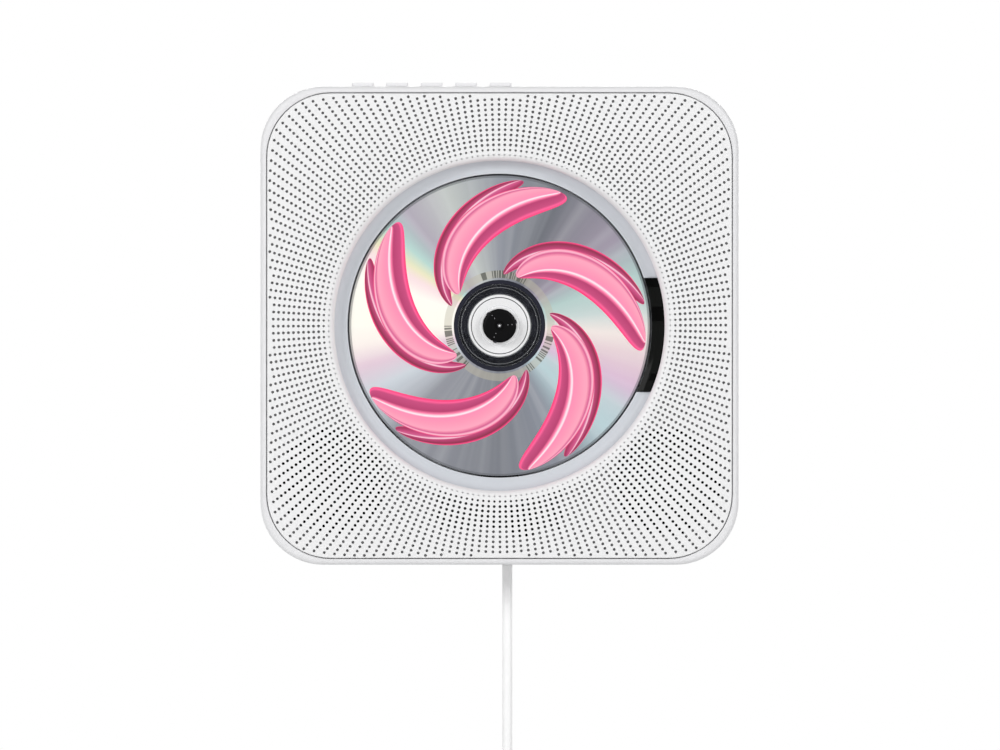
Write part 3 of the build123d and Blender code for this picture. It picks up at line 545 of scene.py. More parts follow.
def perforationTree():
    # one quarter of the sheet is filled round its holes, then set down four times
    graph, size = nodeTree("perforatedSheet", {
        "Outline": ("Geometry", None), "Row Count": ("Int", panel["rows"] // 4),
        "Ring Count": ("Int", panel["rings"]), "Hole Sides": ("Int", panel["holeSides"]),
        "First Radius": ("Float", panel["firstRing"] * mm),
        "Ring Pitch": ("Float", panel["ringPitch"] * mm),
        "Hole Radius": ("Float", panel["holeRadius"] * mm),
        "First Hole Scale": ("Float", panel["firstHoleScale"]),
        "Plate Half": ("Float", panel["half"] * mm), "Corner": ("Float", panel["corner"] * mm),
        "Margin": ("Float", panel["margin"] * mm), "Wall Length": ("Float", panel["skin"] * mm),
        "Phase": ("Float", panel["phase"]), "Finish": ("Material", None),
    }, "Sheet")

    index = graph.add("GeometryNodeInputIndex")
    row = index.apply("MODULO", size["Row Count"])
    ring = (index / size["Row Count"]).apply("FLOOR")
    angle = (row + 1) * (pi / 2) / size["Row Count"] + size["Phase"]
    radius = ring * size["Ring Pitch"] + size["First Radius"]
    x, y = radius * angle.apply("COSINE"), radius * angle.apply("SINE")
    spot = graph.add("ShaderNodeCombineXYZ", inputs={0: x, 1: y})
    count = size["Row Count"] * size["Ring Count"]
    points = graph.add("GeometryNodePoints", inputs={"Count": count, "Position": spot})

    # distance outside the rounded outline of the plate, negative inside
    here = graph.add("GeometryNodeInputPosition")
    across = graph.add("ShaderNodeSeparateXYZ", inputs={0: here})
    up = across.other("Y")
    straight = size["Plate Half"] - size["Corner"]
    overX, overY = across.apply("ABSOLUTE") - straight, up.apply("ABSOLUTE") - straight
    beyond = span(overX.apply("MAXIMUM", 0.0), overY.apply("MAXIMUM", 0.0))
    within = overX.apply("MAXIMUM", overY).apply("MINIMUM", 0.0)
    outside = (beyond + within - size["Corner"] + size["Margin"]) > 0.0
    kept = graph.add("GeometryNodeDeleteGeometry", inputs={"Geometry": points, "Selection": outside})

    # a hole and its wall on each point, turned outwards and smaller on the first ring
    turn = up.apply("ARCTAN2", across)
    onFirst = span(across, up) < (size["First Radius"] + size["Ring Pitch"] * 0.5)
    scale = 1.0 - onFirst * (1.0 - size["First Hole Scale"])
    spin = graph.add("ShaderNodeCombineXYZ", inputs={2: turn})
    flat = graph.add("ShaderNodeCombineXYZ", inputs={0: scale, 1: scale, 2: 1.0})
    holeInputs = {"Radius": size["Hole Radius"], "Resolution": size["Hole Sides"]}
    hole = graph.add("GeometryNodeCurvePrimitiveCircle", {"mode": "RADIUS"}, holeInputs)
    long = size["Wall Length"]
    tubeInputs = {"Vertices": size["Hole Sides"], "Radius": size["Hole Radius"], "Depth": long}
    tube = graph.add("GeometryNodeMeshCylinder", {"fill_type": "NONE"}, tubeInputs)
    down = graph.add("ShaderNodeCombineXYZ", inputs={2: long * -0.5})
    tube = graph.add("GeometryNodeTransform", inputs={"Geometry": tube, "Translation": down})
    tube = graph.add("GeometryNodeFlipFaces", inputs={"Mesh": tube})
    holes, tubes = (copied(graph, kept, each, Rotation=spin, Scale=flat) for each in (hole, tube))

    outline = graph.add("GeometryNodeMeshToCurve", inputs={"Mesh": size["Outline"]})
    sheet = graph.add("GeometryNodeFillCurve", inputs={0: join(graph, holes, outline)})
    corners = graph.add("GeometryNodePoints", inputs={"Count": 4})
    quarterTurn = graph.add("ShaderNodeCombineXYZ", inputs={2: index * (pi / 2)})
    four = copied(graph, corners, join(graph, tubes, sheet), Rotation=quarterTurn)
    merged = graph.add("GeometryNodeMergeByDistance", inputs={"Geometry": four, "Distance": 0.002 * mm})
    return endTree(graph, merged, size["Finish"])


def runTree(base, tree, **values):
    # a modifier's inputs are set by identifier before the first evaluation
    modifier = base.modifiers.new(tree.name, "NODES")
    modifier.node_group = tree
    for item in tree.interface.items_tree:
        if item.in_out == "INPUT" and item.name in values:
            modifier[item.identifier] = values[item.name]
    mesh = evaluated(base)
    bpy.data.objects.remove(base)
    return mesh


def quarterOutline(inset):
    # a quarter of the panel's outline, from half a row past the side's middle
    half, corner = panel["half"] - inset, panel["corner"] - inset
    steps = panel["edgeSteps"]
    arc = [polar(corner, pi / 2 * step / steps) for step in range(steps + 1)]
    start = (half, half * tan(pi / panel["rows"]))
    return [start] + [(half - corner + x, half - corner + y) for x, y in arc]


def panelLoop(inset, depth):
    points, whole = quarterOutline(inset), []
    for turn in range(4):
        whole += points
        points = [(-y, x) for x, y in points]
    return facingLoop(whole, depth)


def perforatedSheet(tree, inset, mouth, wallLength):
    # a quarter's edge as a loop in the XY plane, filled round the holes
    outer = quarterOutline(inset)
    outer.append((-outer[0][1], outer[0][0]))
    steps = panel["rows"] // 2
    inner = [polar(mouth, pi / panel["rows"] + pi / 2 * (1 - step / steps)) for step in range(steps + 1)]
    shape = bmesh.new()
    ring = [shape.verts.new((x * mm, y * mm, 0.0)) for x, y in outer + inner]
    for index, vertex in enumerate(ring):
        shape.edges.new((vertex, ring[(index + 1) % len(ring)]))
    values = {"Wall Length": wallLength * mm, "Finish": bpy.data.materials["plateWhite"]}
    return runTree(addObject("loops", writeMesh(shape)), tree, **values)


def addSheet(shape, mesh, depth, flip=False):
    # lays a sheet made in the XY plane at a depth, facing the room
    mesh.transform(Matrix.Translation((0, -depth * mm, 0)) @ Matrix.Rotation(pi / 2, 4, "X"))
    if flip:
        mesh.flip_normals()
    shape.from_mesh(mesh)


def rollDepth(radius):
    # depth of the rounded mouth at a radius
    roll = panel["roll"]
    over = max(0.0, min(panel["mouth"] - radius, roll))
    return panel["front"] - roll + (roll**2 - over**2) ** 0.5


def tinyHoleBand(shape):
    # the innermost ring of holes is a row of pits in the rounded mouth
    ring, outer, inner = panel["tinyRing"], panel["mouth"], panel["bandInner"]
    half = pi / panel["rows"]
    border = [
        (ring, half), (outer, half), (outer, 0.0), (outer, -half),
        (ring, -half), (inner, -half), (inner, 0.0), (inner, half),
    ]
    for row in range(panel["rows"]):
        middle = 2 * half * row
        aim = middle + panel["phase"]
        cell, pit, floor = [], [], []
        for index, (radius, offset) in enumerate(border):
            cell.append(shape.verts.new(ringPoint(radius, middle + offset, rollDepth(radius))))
            out, aside = polar(panel["tinyRadius"], pi / 2 - index * pi / 4)
            out += ring
            x = out * cos(aim) - aside * sin(aim)
            z = out * sin(aim) + aside * cos(aim)
            pit.append(shape.verts.new(at(x, rollDepth(hypot(x, z)), z)))
            floor.append(shape.verts.new(at(x, rollDepth(ring) - panel["tinyDepth"], z)))
        bridge(shape, cell, pit)
        bridge(shape, pit, floor)
        shape.faces.new(floor)


def makeFrontPanel():
    tree = perforationTree()
    front, back, roll = panel["front"], panel["back"], panel["roll"]
    edge, inset, collar = panel["edgeRound"], panel["backInset"], panel["collar"]
    skinBack = front - panel["skin"]
    shape = bmesh.new()
    addSheet(shape, perforatedSheet(tree, edge, panel["mouth"], panel["skin"]), front)
    addSheet(shape, perforatedSheet(tree, inset, collar, 0.0), skinBack, flip=True)
    steps = quarter((edge, front - edge), edge, 90, 180, 4) + [(0, back), (inset, back), (inset, skinBack)]
    loftLoops(shape, [panelLoop(*step) for step in steps])
    tinyHoleBand(shape)
    arc = [polar(roll, radians(90 * step / panel["rollSteps"])) for step in range(panel["rollSteps"] + 1)]
    mouth = [(panel["bandInner"], rollDepth(panel["bandInner"]))]
    mouth += [(panel["mouth"] - over, front - roll + depth) for depth, over in arc
              if panel["mouth"] - over < panel["bandInner"]]
    mouth += [(collar, mouth[-1][1]), (collar, skinBack)]
    loftLoops(shape, spun(mouth, panel["mouthSteps"]))
    place("frontPanel", closeMesh(shape), "plateWhite", "player", "front_panel")


lining = {
    "back": 43.0, "front": 43.6, "inner": 69.45, "inset": 0.6, "gap": 0.15, "cut": 3.0, "steps": 64,
    "openings": ((-66.8, -62.0, 21.3), (66.8, -62.0, 21.3), (9.0, -78.0, 6.6)),  # x, z and radius
}


def makeLining():
    # grey felt behind the perforation, with black acoustic cloth where sound and signals pass
    half, outward = panel["half"] - lining["inset"], (0, -1, 0)
    back, front = lining["back"], lining["front"]
    outer = squareOutline(half, half, panel["corner"] - lining["inset"])
    sheet = lofted([facingLoop(outer, depth) for depth in (back, front)])
    cuts, black = bmesh.new(), bmesh.new()
    bar(cuts, at(0, back - spare, 0), outward, lining["inner"], lining["cut"], 2 * lining["steps"])
    for x, z, radius in lining["openings"]:
        bar(cuts, at(x, back - spare, z), outward, radius + lining["gap"], lining["cut"], lining["steps"])
        bar(black, at(x, back, z), outward, radius, front - back, lining["steps"])
    sheet = cutMesh(sheet, closeMesh(cuts))
    place("feltLining", sheet, "feltGrey", "player", "front_panel", replaces=False)
    place("acousticCloth", closeMesh(black), "clothBlack", "player", "speaker_gaskets",
          replaces=False)


makeFrontPanel()
makeLining()
print("front panel made")


# housing, with the openings in its walls
housing = {
    "rimRound": 2.0, "innerBevel": 0.28, "ledge": 2.2, "ledgeThickness": 1.6, "innerCorner": 25.7,
    "buttonX": (-54.4, -40.7, -27.0, -13.3, 0.4), "buttonDepth": 24.0, "buttonWidth": 8.7,
    "buttonLength": 5.0, "buttonCorner": 0.9, "buttonGap": 0.25, "rampWidth": 0.9, "rampHeight": 0.4,
    "rampSink": 0.1, "usbZ": 56.0, "usbDepth": 14.0, "usbWidth": 14.4, "usbHeight": 7.2, "usbCorner": 0.6,
    "jackZ": (42.0, 31.0), "jackDepth": 13.8, "jackRadius": 3.2, "cordX": 3.1, "cordDepth": 17.2,
    "neckRadius": 4.5, "holeSteps": 48,
}


def makeHousing():
    half, front, cover = body["half"], body["front"], body["coverDepth"]
    innerHalf, corner = half - body["wall"], housing["innerCorner"]
    rim, bevel, inset = housing["rimRound"], housing["innerBevel"], housing["ledge"]
    back, ledgeBack = panel["back"], panel["back"] - housing["ledgeThickness"]
    inner = squareOutline(innerHalf, innerHalf, corner)
    mouth = squareOutline(innerHalf + bevel, innerHalf + bevel, corner - bevel)
    ledge = squareOutline(innerHalf - inset, innerHalf - inset, corner - inset)
    steps = [(squareOutline(half - over, half - over, body["corner"] - over), depth)
             for over, depth in [(0, cover)] + quarter((rim, front - rim), rim, 180, 90, 8)]
    steps += [(mouth, front), (inner, front - bevel), (inner, back), (ledge, back), (ledge, ledgeBack),
              (inner, ledgeBack), (inner, cover)]
    shell = lofted([facingLoop(*step) for step in steps], closed=True)

    shape = bmesh.new()
    gap, levels = housing["buttonGap"], (innerHalf - spare, half + spare)
    width, length = housing["buttonWidth"] / 2 + gap, housing["buttonLength"] / 2 + gap
    opening = squareOutline(width, length, housing["buttonCorner"], 6)
    depth = housing["buttonDepth"]
    for x in housing["buttonX"]:
        loftLoops(shape, [lyingLoop(opening, z, x, depth) for z in levels], caps=True)
    usb = squareOutline(housing["usbWidth"] / 2, housing["usbHeight"] / 2, housing["usbCorner"], 4)
    middle, z = housing["usbDepth"], housing["usbZ"]
    loftLoops(shape, [[at(x, middle + up, z + across) for across, up in usb] for x in levels], caps=True)
    reach, holeSteps = body["wall"] + 2 * spare, housing["holeSteps"]
    for z in housing["jackZ"]:
        start = at(levels[0], housing["jackDepth"], z)
        bar(shape, start, (1, 0, 0), housing["jackRadius"], reach, holeSteps)
    start = at(housing["cordX"], housing["cordDepth"], -half - spare)
    bar(shape, start, (0, 0, 1), housing["neckRadius"], reach, holeSteps)
    shape = openMesh(cutMesh(shell, closeMesh(shape)))

    # a low ramp stands round each button's opening
    ramp = housing["rampWidth"]
    wide = squareOutline(width + ramp, length + ramp, housing["buttonCorner"] + ramp, 6)
    low, high = half - housing["rampSink"], half + housing["rampHeight"]
    for x in housing["buttonX"]:
        steps = ((opening, low), (wide, low), (wide, half), (opening, high))
        loftLoops(shape, [lyingLoop(outline, z, x, depth) for outline, z in steps], closed=True)
    markEdges(shape)
    place("housingShell", writeMesh(shape), "housingWhite", "player", "main_housing")


screw = {"headRadius": 2.8, "headHeight": 1.6, "headRound": 0.9, "seat": 2.0, "shaft": 1.5, "length": 16.0,
         "crossWidth": 0.75, "crossReach": 1.75, "crossDepth": 0.9, "crossTaper": 0.6, "crossStart": 0.5,
         "place": 78.0, "turn": 37.0, "steps": 32}


def screwMesh():
    # pan head with a cross recess, facing the wall
    seat, top = screw["seat"], screw["seat"] - screw["headHeight"]
    soft, end = screw["headRound"], screw["seat"] + screw["length"]
    profile = [(0.0, top)] + quarter((screw["headRadius"] - soft, top + soft), soft, -90, 0, 5)
    profile += [(screw["headRadius"], seat), (screw["shaft"], seat), (screw["shaft"], end), (0.0, end)]
    head = turned(profile, screw["steps"])
    shape = bmesh.new()
    wide, reach, taper = screw["crossWidth"] / 2, screw["crossReach"], screw["crossTaper"]
    for x, z in ((wide, reach), (reach, wide)):
        loops = [facingLoop(rectangle(x, z), top - screw["crossStart"]),
                 facingLoop(rectangle(x * taper, z * taper), top + screw["crossDepth"])]
        loftLoops(shape, loops, caps=True)
    return cutMesh(head, closeMesh(shape))


def scatterTree():
    # puts one shape on every vertex of the piece that carries the modifier
    graph, given = nodeTree("scatter", {
        "Spots": ("Geometry", None), "Shape": ("Object", None), "Turn Step": ("Float", 0.0),
        "Finish": ("Material", None),
    }, "Pieces")
    shape = graph.add("GeometryNodeObjectInfo", inputs={"Object": given["Shape"]}, output="Geometry")
    turn = graph.add("GeometryNodeInputIndex") * given["Turn Step"]
    spin = graph.add("ShaderNodeCombineXYZ", inputs={1: turn})
    return endTree(graph, copied(graph, given["Spots"], shape, Rotation=spin), given["Finish"])


scatter = scatterTree()


def scattered(mesh, spots, finish, turnStep=0.0):
    shape = addObject("shape", mesh)
    points = bpy.data.meshes.new("spots")
    points.from_pydata(spots, [], [])
    values = {"Shape": shape, "Turn Step": turnStep, "Finish": bpy.data.materials[finish]}
    result = runTree(addObject("spots", points), scatter, **values)
    bpy.data.objects.remove(shape)
    return result


def makeRear():
    place("rearCover", cadShape("rear_cover", 20.0), "coverWhite", "player", "rear_cover")
    ends = (-screw["place"], screw["place"])
    spots = [at(x, 0, z) for x in ends for z in ends]
    mesh = scattered(screwMesh(), spots, "screwSteel", radians(screw["turn"]))
    place("coverScrews", mesh, "screwSteel", "player", "rear_cover_screws")


makeHousing()
makeRear()
print("housing made")


# row of buttons on top
button = {"top": 96.7, "flangeTop": 92.6, "flange": 1.0, "flangeMargin": 1.0, "edge": 0.35, "stem": 3.0,
          "stemBottom": 88.8, "names": ("power", "source", "previous", "play", "next")}


def makeButtons():
    width, length, corner = housing["buttonWidth"] / 2, housing["buttonLength"] / 2, housing["buttonCorner"]
    margin, edge, top, stem = button["flangeMargin"], button["edge"], button["top"], button["stem"] / 2
    depth, high, low = housing["buttonDepth"], button["flangeTop"], button["flangeTop"] - button["flange"]
    flange = squareOutline(width + margin, length + margin, corner, 8)
    steps = [(flange, low), (flange, high), (squareOutline(width, length, corner, 8), high)]
    steps += [(squareOutline(width - inset, length - inset, corner - inset, 8), z)
              for inset, z in quarter((edge, top - edge), edge, 180, 90, 5)]
    for x, name in zip(housing["buttonX"], button["names"]):
        shape = bmesh.new()
        loftLoops(shape, [lyingLoop(outline, z, x, depth) for outline, z in steps], caps=True)
        addBlock(shape, (x - stem, depth - stem, button["stemBottom"]), (x + stem, depth + stem, low))
        title = "button" + name.capitalize()
        place(title, closeMesh(shape), "buttonWhite", "button_" + name, "button_" + name)


makeButtons()
print("buttons made")


# disc well, with the seat of its window
well = {
    "radius": 60.4, "lipRound": 0.12, "footRound": 0.5, "shelfEnd": 61.8, "shelf": 37.6, "coveRadius": 4.0,
    "flange": 69.6, "flangeBack": 39.8, "wallOuter": 62.75, "wall": 2.0, "floor": 32.5, "back": 30.5,
    "hole": 14.0, "steps": 360, "sharp": 40.0, "slotHalf": 7.4, "slotEnd": -60.6,
    "lightLeft": 63.35, "lightWidth": 1.8, "lightHalf": 14.5,
    "postX": 31.5, "postZ": (14.0, -46.0), "post": 2.5, "postBack": 23.85,
}
window = {
    "top": 18.9, "bottom": -26.2, "gap": 0.15, "inner": 60.6, "outer": 65.4, "thickness": 2.0, "rise": 0.78,
    "crown": 0.35, "crownAside": 0.6, "steps": 8, "edge": 0.25,
}


def rightPart(ring, depths, levels):
    # what a block on the right, between two depths and two levels, holds of a ring
    low, high = zip((0, body["half"]), depths, levels)
    return cutMesh(ring, blocks([(low, high)]), well["sharp"], "INTERSECT")


def makeWell():
    shelf, floor, back, wall = well["shelf"], well["floor"], well["back"], well["wall"]
    lip, foot, radius, cove = well["lipRound"], well["footRound"], well["radius"], well["coveRadius"]
    slope = quarter((well["shelfEnd"], shelf + cove), cove, -90, 0, 16)
    profile = [(well["hole"], back), (well["hole"], floor)]
    profile += quarter((radius - foot, floor + foot), foot, -90, 0, 4)
    profile += quarter((radius + lip, shelf - lip), lip, 180, 90, 4) + slope
    profile += [
        (well["flange"], slope[-1][1]), (well["flange"], well["flangeBack"]),
        (slope[-1][0] + wall, well["flangeBack"]),
        (well["wallOuter"], shelf - wall), (well["wallOuter"], back),
    ]
    mesh = turned(profile, well["steps"], well["sharp"])
    # the window's seat, the slots for the pickup and the window's light, and the posts behind
    gap, low, high = window["gap"], shelf - window["thickness"] - window["gap"], body["front"]
    inner, outer = window["inner"] - spare, window["outer"] + gap
    profile = [(inner, low - spare), (outer, low - spare), (outer, high + spare), (inner, high + spare)]
    ring = turned(profile, well["steps"])
    seat = rightPart(ring, (low, high), (window["bottom"] - gap, window["top"] + gap))
    mesh = cutMesh(mesh, seat, well["sharp"])
    middle, left, half = (window["top"] + window["bottom"]) / 2, well["lightLeft"], well["lightHalf"]
    slots = blocks([
        ((-well["slotHalf"], back - spare, well["slotEnd"]), (well["slotHalf"], floor + spare, 0)),
        ((left, back - spare, middle - half), (left + well["lightWidth"], shelf + spare, middle + half)),
    ])
    shape = openMesh(cutMesh(mesh, slots, well["sharp"]))
    post = well["post"]
    for x in (-well["postX"], well["postX"]):
        for z in well["postZ"]:
            addBlock(shape, (x - post, well["postBack"], z - post), (x + post, back, z + post))
    markEdges(shape, well["sharp"])
    place("discWell", writeMesh(shape), "wellSilver", "player", "disc_well")


def makeWindow():
    # the face follows the well's slope with a slight crown
    inner, outer, thickness = window["inner"], window["outer"], window["thickness"]
    low, rise, face = well["shelf"], well["coveRadius"] * window["rise"], []
    for step in range(window["steps"] + 1):
        share = step / window["steps"]
        crown = window["crown"] * sin(pi * share)
        out = inner + (outer - inner) * share + crown * window["crownAside"]
        face.append((out, low + rise * share - crown))
    profile = face + [(outer, low + rise - thickness), (inner, low - thickness)]
    ring = turned(profile, well["steps"], well["sharp"])
    mesh = rightPart(ring, (0, body["front"]), (window["bottom"], window["top"]))
    mesh = soften(mesh, window["edge"], 3, well["sharp"])
    place("displayWindow", mesh, "smokedWindow", "player", "display_window")


# turntable and the hub that grips the disc
table = {
    "bore": 1.02, "flange": 17.0, "flangeBack": 33.4, "flangeTop": 35.2, "ring": 12.35, "ringTop": 35.8,
    "collar": 7.35, "collarTop": 37.0, "collarInner": 6.72, "groove": 11.2, "grooveWidth": 0.17,
    "grooveDepth": 0.45, "edge": 0.2, "matInner": 12.6, "matOuter": 16.6, "matTop": 36.0, "matEdge": 0.15,
    "steps": 128,
}


def makeTurntable():
    edge, groove, width, bore = table["edge"], table["groove"], table["grooveWidth"], table["bore"]
    flange, low, high = table["flange"], table["flangeBack"], table["flangeTop"]
    ring, top, collar = table["ring"], table["ringTop"], table["collar"]
    inner, collarTop, bottom = table["collarInner"], table["collarTop"], top - table["grooveDepth"]
    near, far = groove - width, groove + width
    profile = [(bore, low), (flange - edge, low), (flange, low + edge), (flange, high - edge),
               (flange - edge, high), (ring, high)]
    profile += quarter((ring - edge, top - edge), edge, 0, 90, 4)
    profile += [(far, top), (far, bottom), (near, bottom), (near, top), (collar, top)]
    profile += quarter((collar - edge, collarTop - edge), edge, 0, 90, 4)
    profile += [(inner, collarTop), (inner, top), (bore, top)]
    mesh = turned(profile, table["steps"])
    # the groove takes the navy finish as painted shade; the flange outside the white ring is navy too
    for polygon in mesh.polygons:
        radius, level = hypot(polygon.center.x, polygon.center.z) / mm, -polygon.center.y / mm
        inGroove = near - 0.01 < radius < far + 0.01 and level < top - 0.05
        polygon.material_index = int(inGroove or radius > ring + 0.02)
    place("turntableDish", mesh, ["turntableWhite", "turntableNavy"], "rotor", "turntable")
    inner, outer, top, soft = table["matInner"], table["matOuter"], table["matTop"], table["matEdge"]
    mat = [(inner, high), (outer, high)] + quarter((outer - soft, top - soft), soft, 0, 90, 3)
    mat += quarter((inner + soft, top - soft), soft, 90, 180, 3)
    place("discMat", turned(mat, table["steps"]), "rubberBlack", "rotor", "disc_mat")


hub = {
    "radius": 6.7, "base": 35.8, "top": 40.5, "bevel": 1.3, "bore": 1.02,
    "dishInner": 1.45, "dishOuter": 1.9, "dishDepth": 0.2, "dishSlope": 0.15,
    "ballAngles": (14.0, 134.0, 254.0), "ballRadius": 1.3, "ballReach": 7.12, "ballDepth": 38.7,
    "slotGap": 0.2, "slotBack": 37.0, "slotFront": 0.5,
    "pinRadius": 0.26, "pinSink": 0.12, "pins": ((3.4, -9.0), (5.0, -9.0)),
    "shaft": 1.0, "shaftBack": 21.85, "shaftTop": 41.0, "shaftRound": 0.4, "tipRadius": 0.4,
    "steps": 128, "shaftSteps": 48, "ballSharp": 60.0,
}
# the shaft's side is painted dark, a painted dark reflection; the tip stays bright steel
shaftSteel = {"colour": (214, 215, 217), "roughness": 0.2, "side": (58, 58, 60), "tip": (236, 236, 238)}


def scatterBalls(name, radius, subdivisions, spots, finish, slotName, replaces):
    shape = bmesh.new()
    bmesh.ops.create_icosphere(shape, subdivisions=subdivisions, radius=radius * mm)
    mesh = scattered(closeMesh(shape, hub["ballSharp"]), spots, finish)
    place(name, mesh, finish, "rotor", slotName, replaces)


def makeHub():
    top, bevel, radius, bore = hub["top"], hub["bevel"], hub["radius"], hub["bore"]
    inner, outer, slope = hub["dishInner"], hub["dishOuter"], hub["dishSlope"]
    bottom = top - hub["dishDepth"]
    profile = [(bore, hub["base"]), (radius, hub["base"]), (radius, top - bevel)]
    profile += quarter((radius - bevel, top - bevel), bevel, 15, 90, 6)
    profile += [(outer, top), (outer - slope, bottom), (inner, bottom), (inner - slope, top), (bore, top)]
    mesh = turned(profile, hub["steps"])
    ball, gap, reach = hub["ballRadius"], hub["slotGap"], hub["ballReach"]
    near, far, half = reach - 2 * ball - gap, radius + spare, ball + gap
    shape = bmesh.new()
    for angle in hub["ballAngles"]:
        turn = radians(angle)
        outline = [(out * cos(turn) - aside * sin(turn), out * sin(turn) + aside * cos(turn))
                   for out, aside in ((near, -half), (far, -half), (far, half), (near, half))]
        depths = (hub["slotBack"], top - hub["slotFront"])
        loftLoops(shape, [facingLoop(outline, depth) for depth in depths], caps=True)
    place("spindleHub", cutMesh(mesh, closeMesh(shape)), "hubBlack", "rotor", "spindle_hub")

    spots = [ringPoint(reach - ball, radians(angle), hub["ballDepth"]) for angle in hub["ballAngles"]]
    scatterBalls("grippingBalls", ball, 3, spots, "darkSteel", "disc_balls", True)
    spots = [ringPoint(out, radians(angle + aside), top - hub["pinSink"])
             for angle in hub["ballAngles"] for out, aside in hub["pins"]]
    scatterBalls("catchPins", hub["pinRadius"], 2, spots, "pinSteel", "spindle_hub", False)

    steel = turnedMetal("shaftSteel", shaftSteel["colour"], shaftSteel["roughness"])
    # painted dark reflection on the shaft's side, bright steel only at the tip
    side = span(*steel.axes()) > hub["tipRadius"]
    steel.feed("Base Color", steel.blend(side, shaftSteel["tip"], shaftSteel["side"]))
    back, top, soft, radius = hub["shaftBack"], hub["shaftTop"], hub["shaftRound"], hub["shaft"]
    shaft = [(0.0, back), (radius, back)]
    shaft += quarter((radius - soft, top - soft), soft, 0, 90, 5) + [(0.0, top)]
    place("spindleShaft", turned(shaft, hub["shaftSteps"]), "shaftSteel", "rotor", "spindle_shaft")


makeWell()
makeWindow()
makeTurntable()
makeHub()
print("well and spindle made")


# compact disc
disc = {
    "radius": 60.0, "bore": 7.5, "back": 36.0, "top": 37.2, "edge": 0.18, "clearEnd": 16.6, "foilEnd": 59.7,
    "silverEnd": 58.9, "stackRing": 15.2, "stackHalf": 0.35, "stackFoot": 0.2, "stackDepth": 0.15,
    "mouldRings": ((8.0, 0.12), (12.6, 0.08), (15.2, 0.16), (16.3, 0.06)), "steps": 256, "sharp": 50.0,
}
clearRing = {"colour": (226, 230, 234), "ior": 1.58, "alpha": 0.012, "ringAlpha": 0.16, "roughness": 0.04,
             "sheen": (0.02, 0.06, 40)}
foil = {
    "colour": (150, 155, 165), "streakCount": 42.0, "streakFrom": 0.42, "streaks": 0.35,
    "streak": (236, 238, 240), "mirrorInner": 18.2, "mirror": (16, 18, 36),
    "edge": (96, 99, 104), "rimShadeShare": 0.6,
    "matrixInner": 19.0, "matrixOuter": 22.0, "matrix": (186, 180, 160), "matrixShare": 0.45,
    "bars": 330, "barGroups": 3.0, "barFill": 0.42, "bar": (58, 62, 56), "barShare": 0.75,
    "metallic": 0.45, "roughness": 0.24, "inkRoughness": 0.1,
}
petal = {
    "count": 5, "inner": 20.5, "outer": 58.4, "curl": 0.0055, "bow": 0.5, "lean": 0.06,
    "back": (0.26, 0.15), "face": (0.48, 0.27),
}
# the fan of painted sheen, reflected light drawn into the colour, runs once round from the left, by way of
# below, right and above
paintedSheenStops = (
    (0.0, 255, 251, 240), (0.022, 250, 240, 234), (0.045, 226, 200, 214), (0.075, 204, 211, 218),
    (0.125, 146, 148, 156), (0.25, 120, 123, 131), (0.33, 136, 141, 152), (0.378, 182, 206, 211),
    (0.405, 192, 206, 211), (0.432, 216, 186, 211), (0.46, 226, 202, 210), (0.49, 240, 229, 224),
    (0.52, 198, 212, 210), (0.556, 176, 202, 198), (0.6, 158, 150, 165), (0.68, 108, 111, 119),
    (0.75, 143, 147, 156), (0.81, 190, 195, 192), (0.86, 174, 167, 180), (0.887, 178, 213, 206),
    (0.905, 236, 231, 192), (0.92, 250, 222, 226), (0.945, 255, 252, 243), (1.0, 255, 251, 240),
)
brightPinks = (
    (0.0, 255, 26, 108), (0.07, 255, 92, 150), (0.12, 196, 67, 120), (0.3, 178, 50, 104),
    (0.36, 255, 120, 165), (0.42, 255, 240, 246), (0.46, 255, 140, 178), (0.6, 255, 150, 180),
    (0.8, 255, 164, 188), (0.9, 214, 84, 138), (0.95, 255, 190, 210), (1.0, 232, 60, 126),
)
deepPinks = (
    (0.0, 232, 40, 112), (0.1, 150, 30, 78), (0.35, 196, 67, 120), (0.5, 206, 84, 136),
    (0.6, 255, 205, 222), (0.66, 190, 58, 112), (0.9, 128, 22, 62), (1.0, 255, 60, 128),
)


def discClear():
    clear = Finish("discClear", clearRing["colour"], clearRing["roughness"], IOR=clearRing["ior"])
    radius = span(*clear.axes())
    seen = clearRing["alpha"]
    for ring, half in disc["mouldRings"]:
        seen = ((radius - ring).apply("ABSOLUTE") < half) * clearRing["ringAlpha"] + seen
    clear.feed("Alpha", seen)
    clear.roughen(*clearRing["sheen"])


